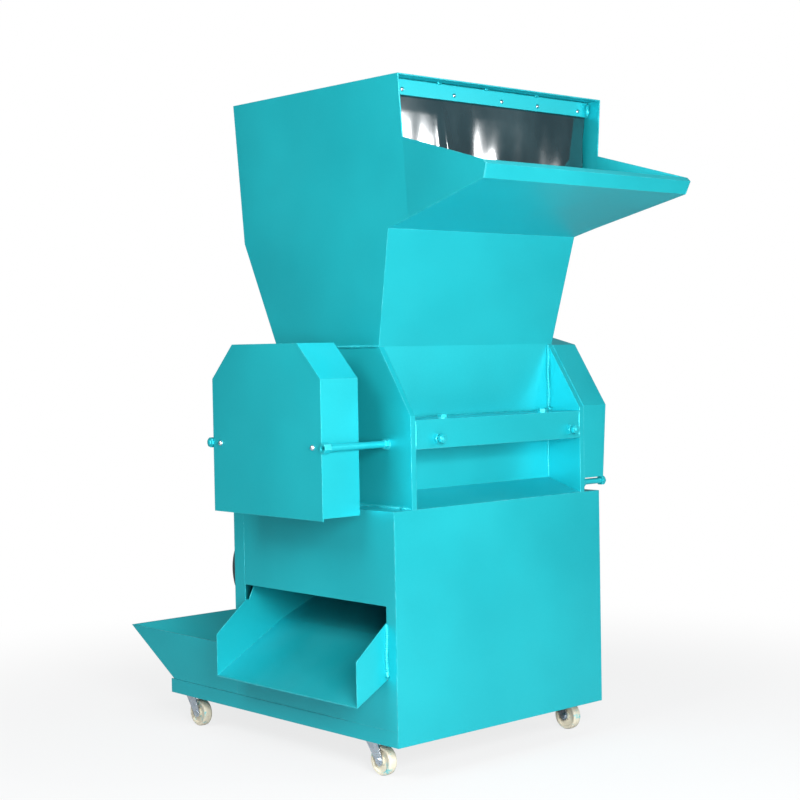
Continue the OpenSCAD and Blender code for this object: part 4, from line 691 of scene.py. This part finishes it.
def makeGuardRods(g):
    # painted rods with a washer and nut at the plate, and the welded nuts of the guards at their ends
    rods, ends = [], []
    for y in (g["frontY"], g["rearY"]):
        rods.append(turnedSurface(g["rod"], at(-316, y, g["z"]), toLeft, 32))
        rods.append(turnedSurface(g["washer"], at(-316, y, g["z"]), toLeft, 40))
        rods.append(hexSurface(at(-318, y, g["z"]), toLeft, g["across"], 0.0105, turn=0.26))
    rods.append(turnedSurface(g["beltRod"], at(316, g["beltY"], g["beltZ"]), toRight, 32))
    rods.append(hexSurface(at(316.2, g["beltY"], g["beltZ"]), toRight, g["across"], 0.0105))
    ends.append(hexSurface(at(-502, g["frontY"], g["z"]), toLeft, g["across"], 0.0205, 0.0058, 0.016, 0.26))
    ends.append(hexSurface(at(-502, g["rearY"], g["z"]), toLeft, g["across"], 0.0165, turn=0.26))
    ends.append(turnedSurface(g["stud"], at(-518.6, g["rearY"], g["z"]), toLeft, 24))
    ends.append(hexSurface(at(394, g["beltY"], g["beltZ"]), toRight, g["across"], 0.0125))
    for name, parts, replaced in (("guard_rod_set", rods, "guard_rods"), ("guard_end_nuts", ends, "guard_bushes")):
        points, faces = joinParts(parts)
        piece = makePiece(name, points, faces, finishes["teal_paint"], "machine", False)
        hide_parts(replaced)


makeGuardRods(guardRods)
print("stage: bolts and rods done")


# Curtain

curtainShape = {"columns": 220, "rows": 70, "waves": 3.1, "depth": 0.0066, "thick": 0.0026,
                "ripple": 0.0005, "top": 1.6695, "length": 0.2855, "pucker": 0.0052, "puckerAt": 0.24,
                "place": 0.0145, "topReach": 0.367, "footReach": 0.316, "rise": 0.651}


def makeCurtain(c):
    # hanging sheet: two slow waves and a fine ripple across it, all growing towards the free edge
    low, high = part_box("curtain")
    u = np.linspace(0, 1, c["columns"])[None, :]
    v = np.linspace(0, 1, c["rows"])[:, None]
    topHalf = (high[0] - low[0]) / 2
    lean = (c["topReach"] - c["footReach"]) / c["rise"]
    half = topHalf - v * c["length"] * lean
    turn = 2 * np.pi * c["waves"] * u
    wave = 0.7 * np.sin(turn) + 0.3 * np.sin(1.7 * turn + math.pi / 3)
    side = np.clip((np.abs(2 * u - 1) - 0.9) / 0.1, 0, 1)
    pleat = np.exp(-((u - c["puckerAt"] - 0.04 * v) / 0.022) ** 2) * np.sin(np.pi * np.clip(1.25 * v, 0, 1))
    y = c["depth"] * v * wave * (1 - 0.4 * pleat) - c["pucker"] * pleat
    y = y + c["ripple"] * np.sin(2.7 * turn + 3 * v) * np.sin(np.pi * v)
    x = (2 * u - 1) * (half - 0.004 * side * np.sin(7 * v) ** 2)
    z = c["top"] - v * c["length"] + 0 * u
    middle = np.stack([x + 0 * v, y + c["place"] + originShift[1], z], -1)
    across = np.gradient(middle, axis=1)
    down = np.gradient(middle, axis=0)
    normal = np.cross(across, down)
    normal /= np.linalg.norm(normal, axis=-1, keepdims=True)
    thick = c["thick"] / 2 * np.clip(0.25 + 6 * v, 0, 1)[..., None]
    front, back = middle + normal * thick, middle - normal * thick
    n, rows = c["columns"], c["rows"]
    points = np.concatenate([front.reshape(-1, 3), back.reshape(-1, 3)])
    r, k = np.meshgrid(np.arange(rows - 1), np.arange(n - 1), indexing="ij")
    a = r * n + k
    faces = np.stack([a, a + 1, a + n + 1, a + n], -1).reshape(-1, 4).tolist()
    m = n * rows
    faces += (np.stack([a, a + n, a + n + 1, a + 1], -1) + m).reshape(-1, 4).tolist()
    rim = np.concatenate([np.arange(n), np.arange(1, rows) * n + n - 1, (rows - 1) * n + np.arange(n - 2, -1, -1),
                          np.arange(rows - 2, 0, -1) * n])
    after = np.roll(rim, -1)
    faces += np.stack([rim, rim + m, after + m, after], -1).tolist()
    piece = makePiece("curtain_sheet", points, faces, finishes["curtain_sheet"], "curtain_body")
    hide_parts("curtain")


makeCurtain(curtainShape)
print("stage: curtain done")
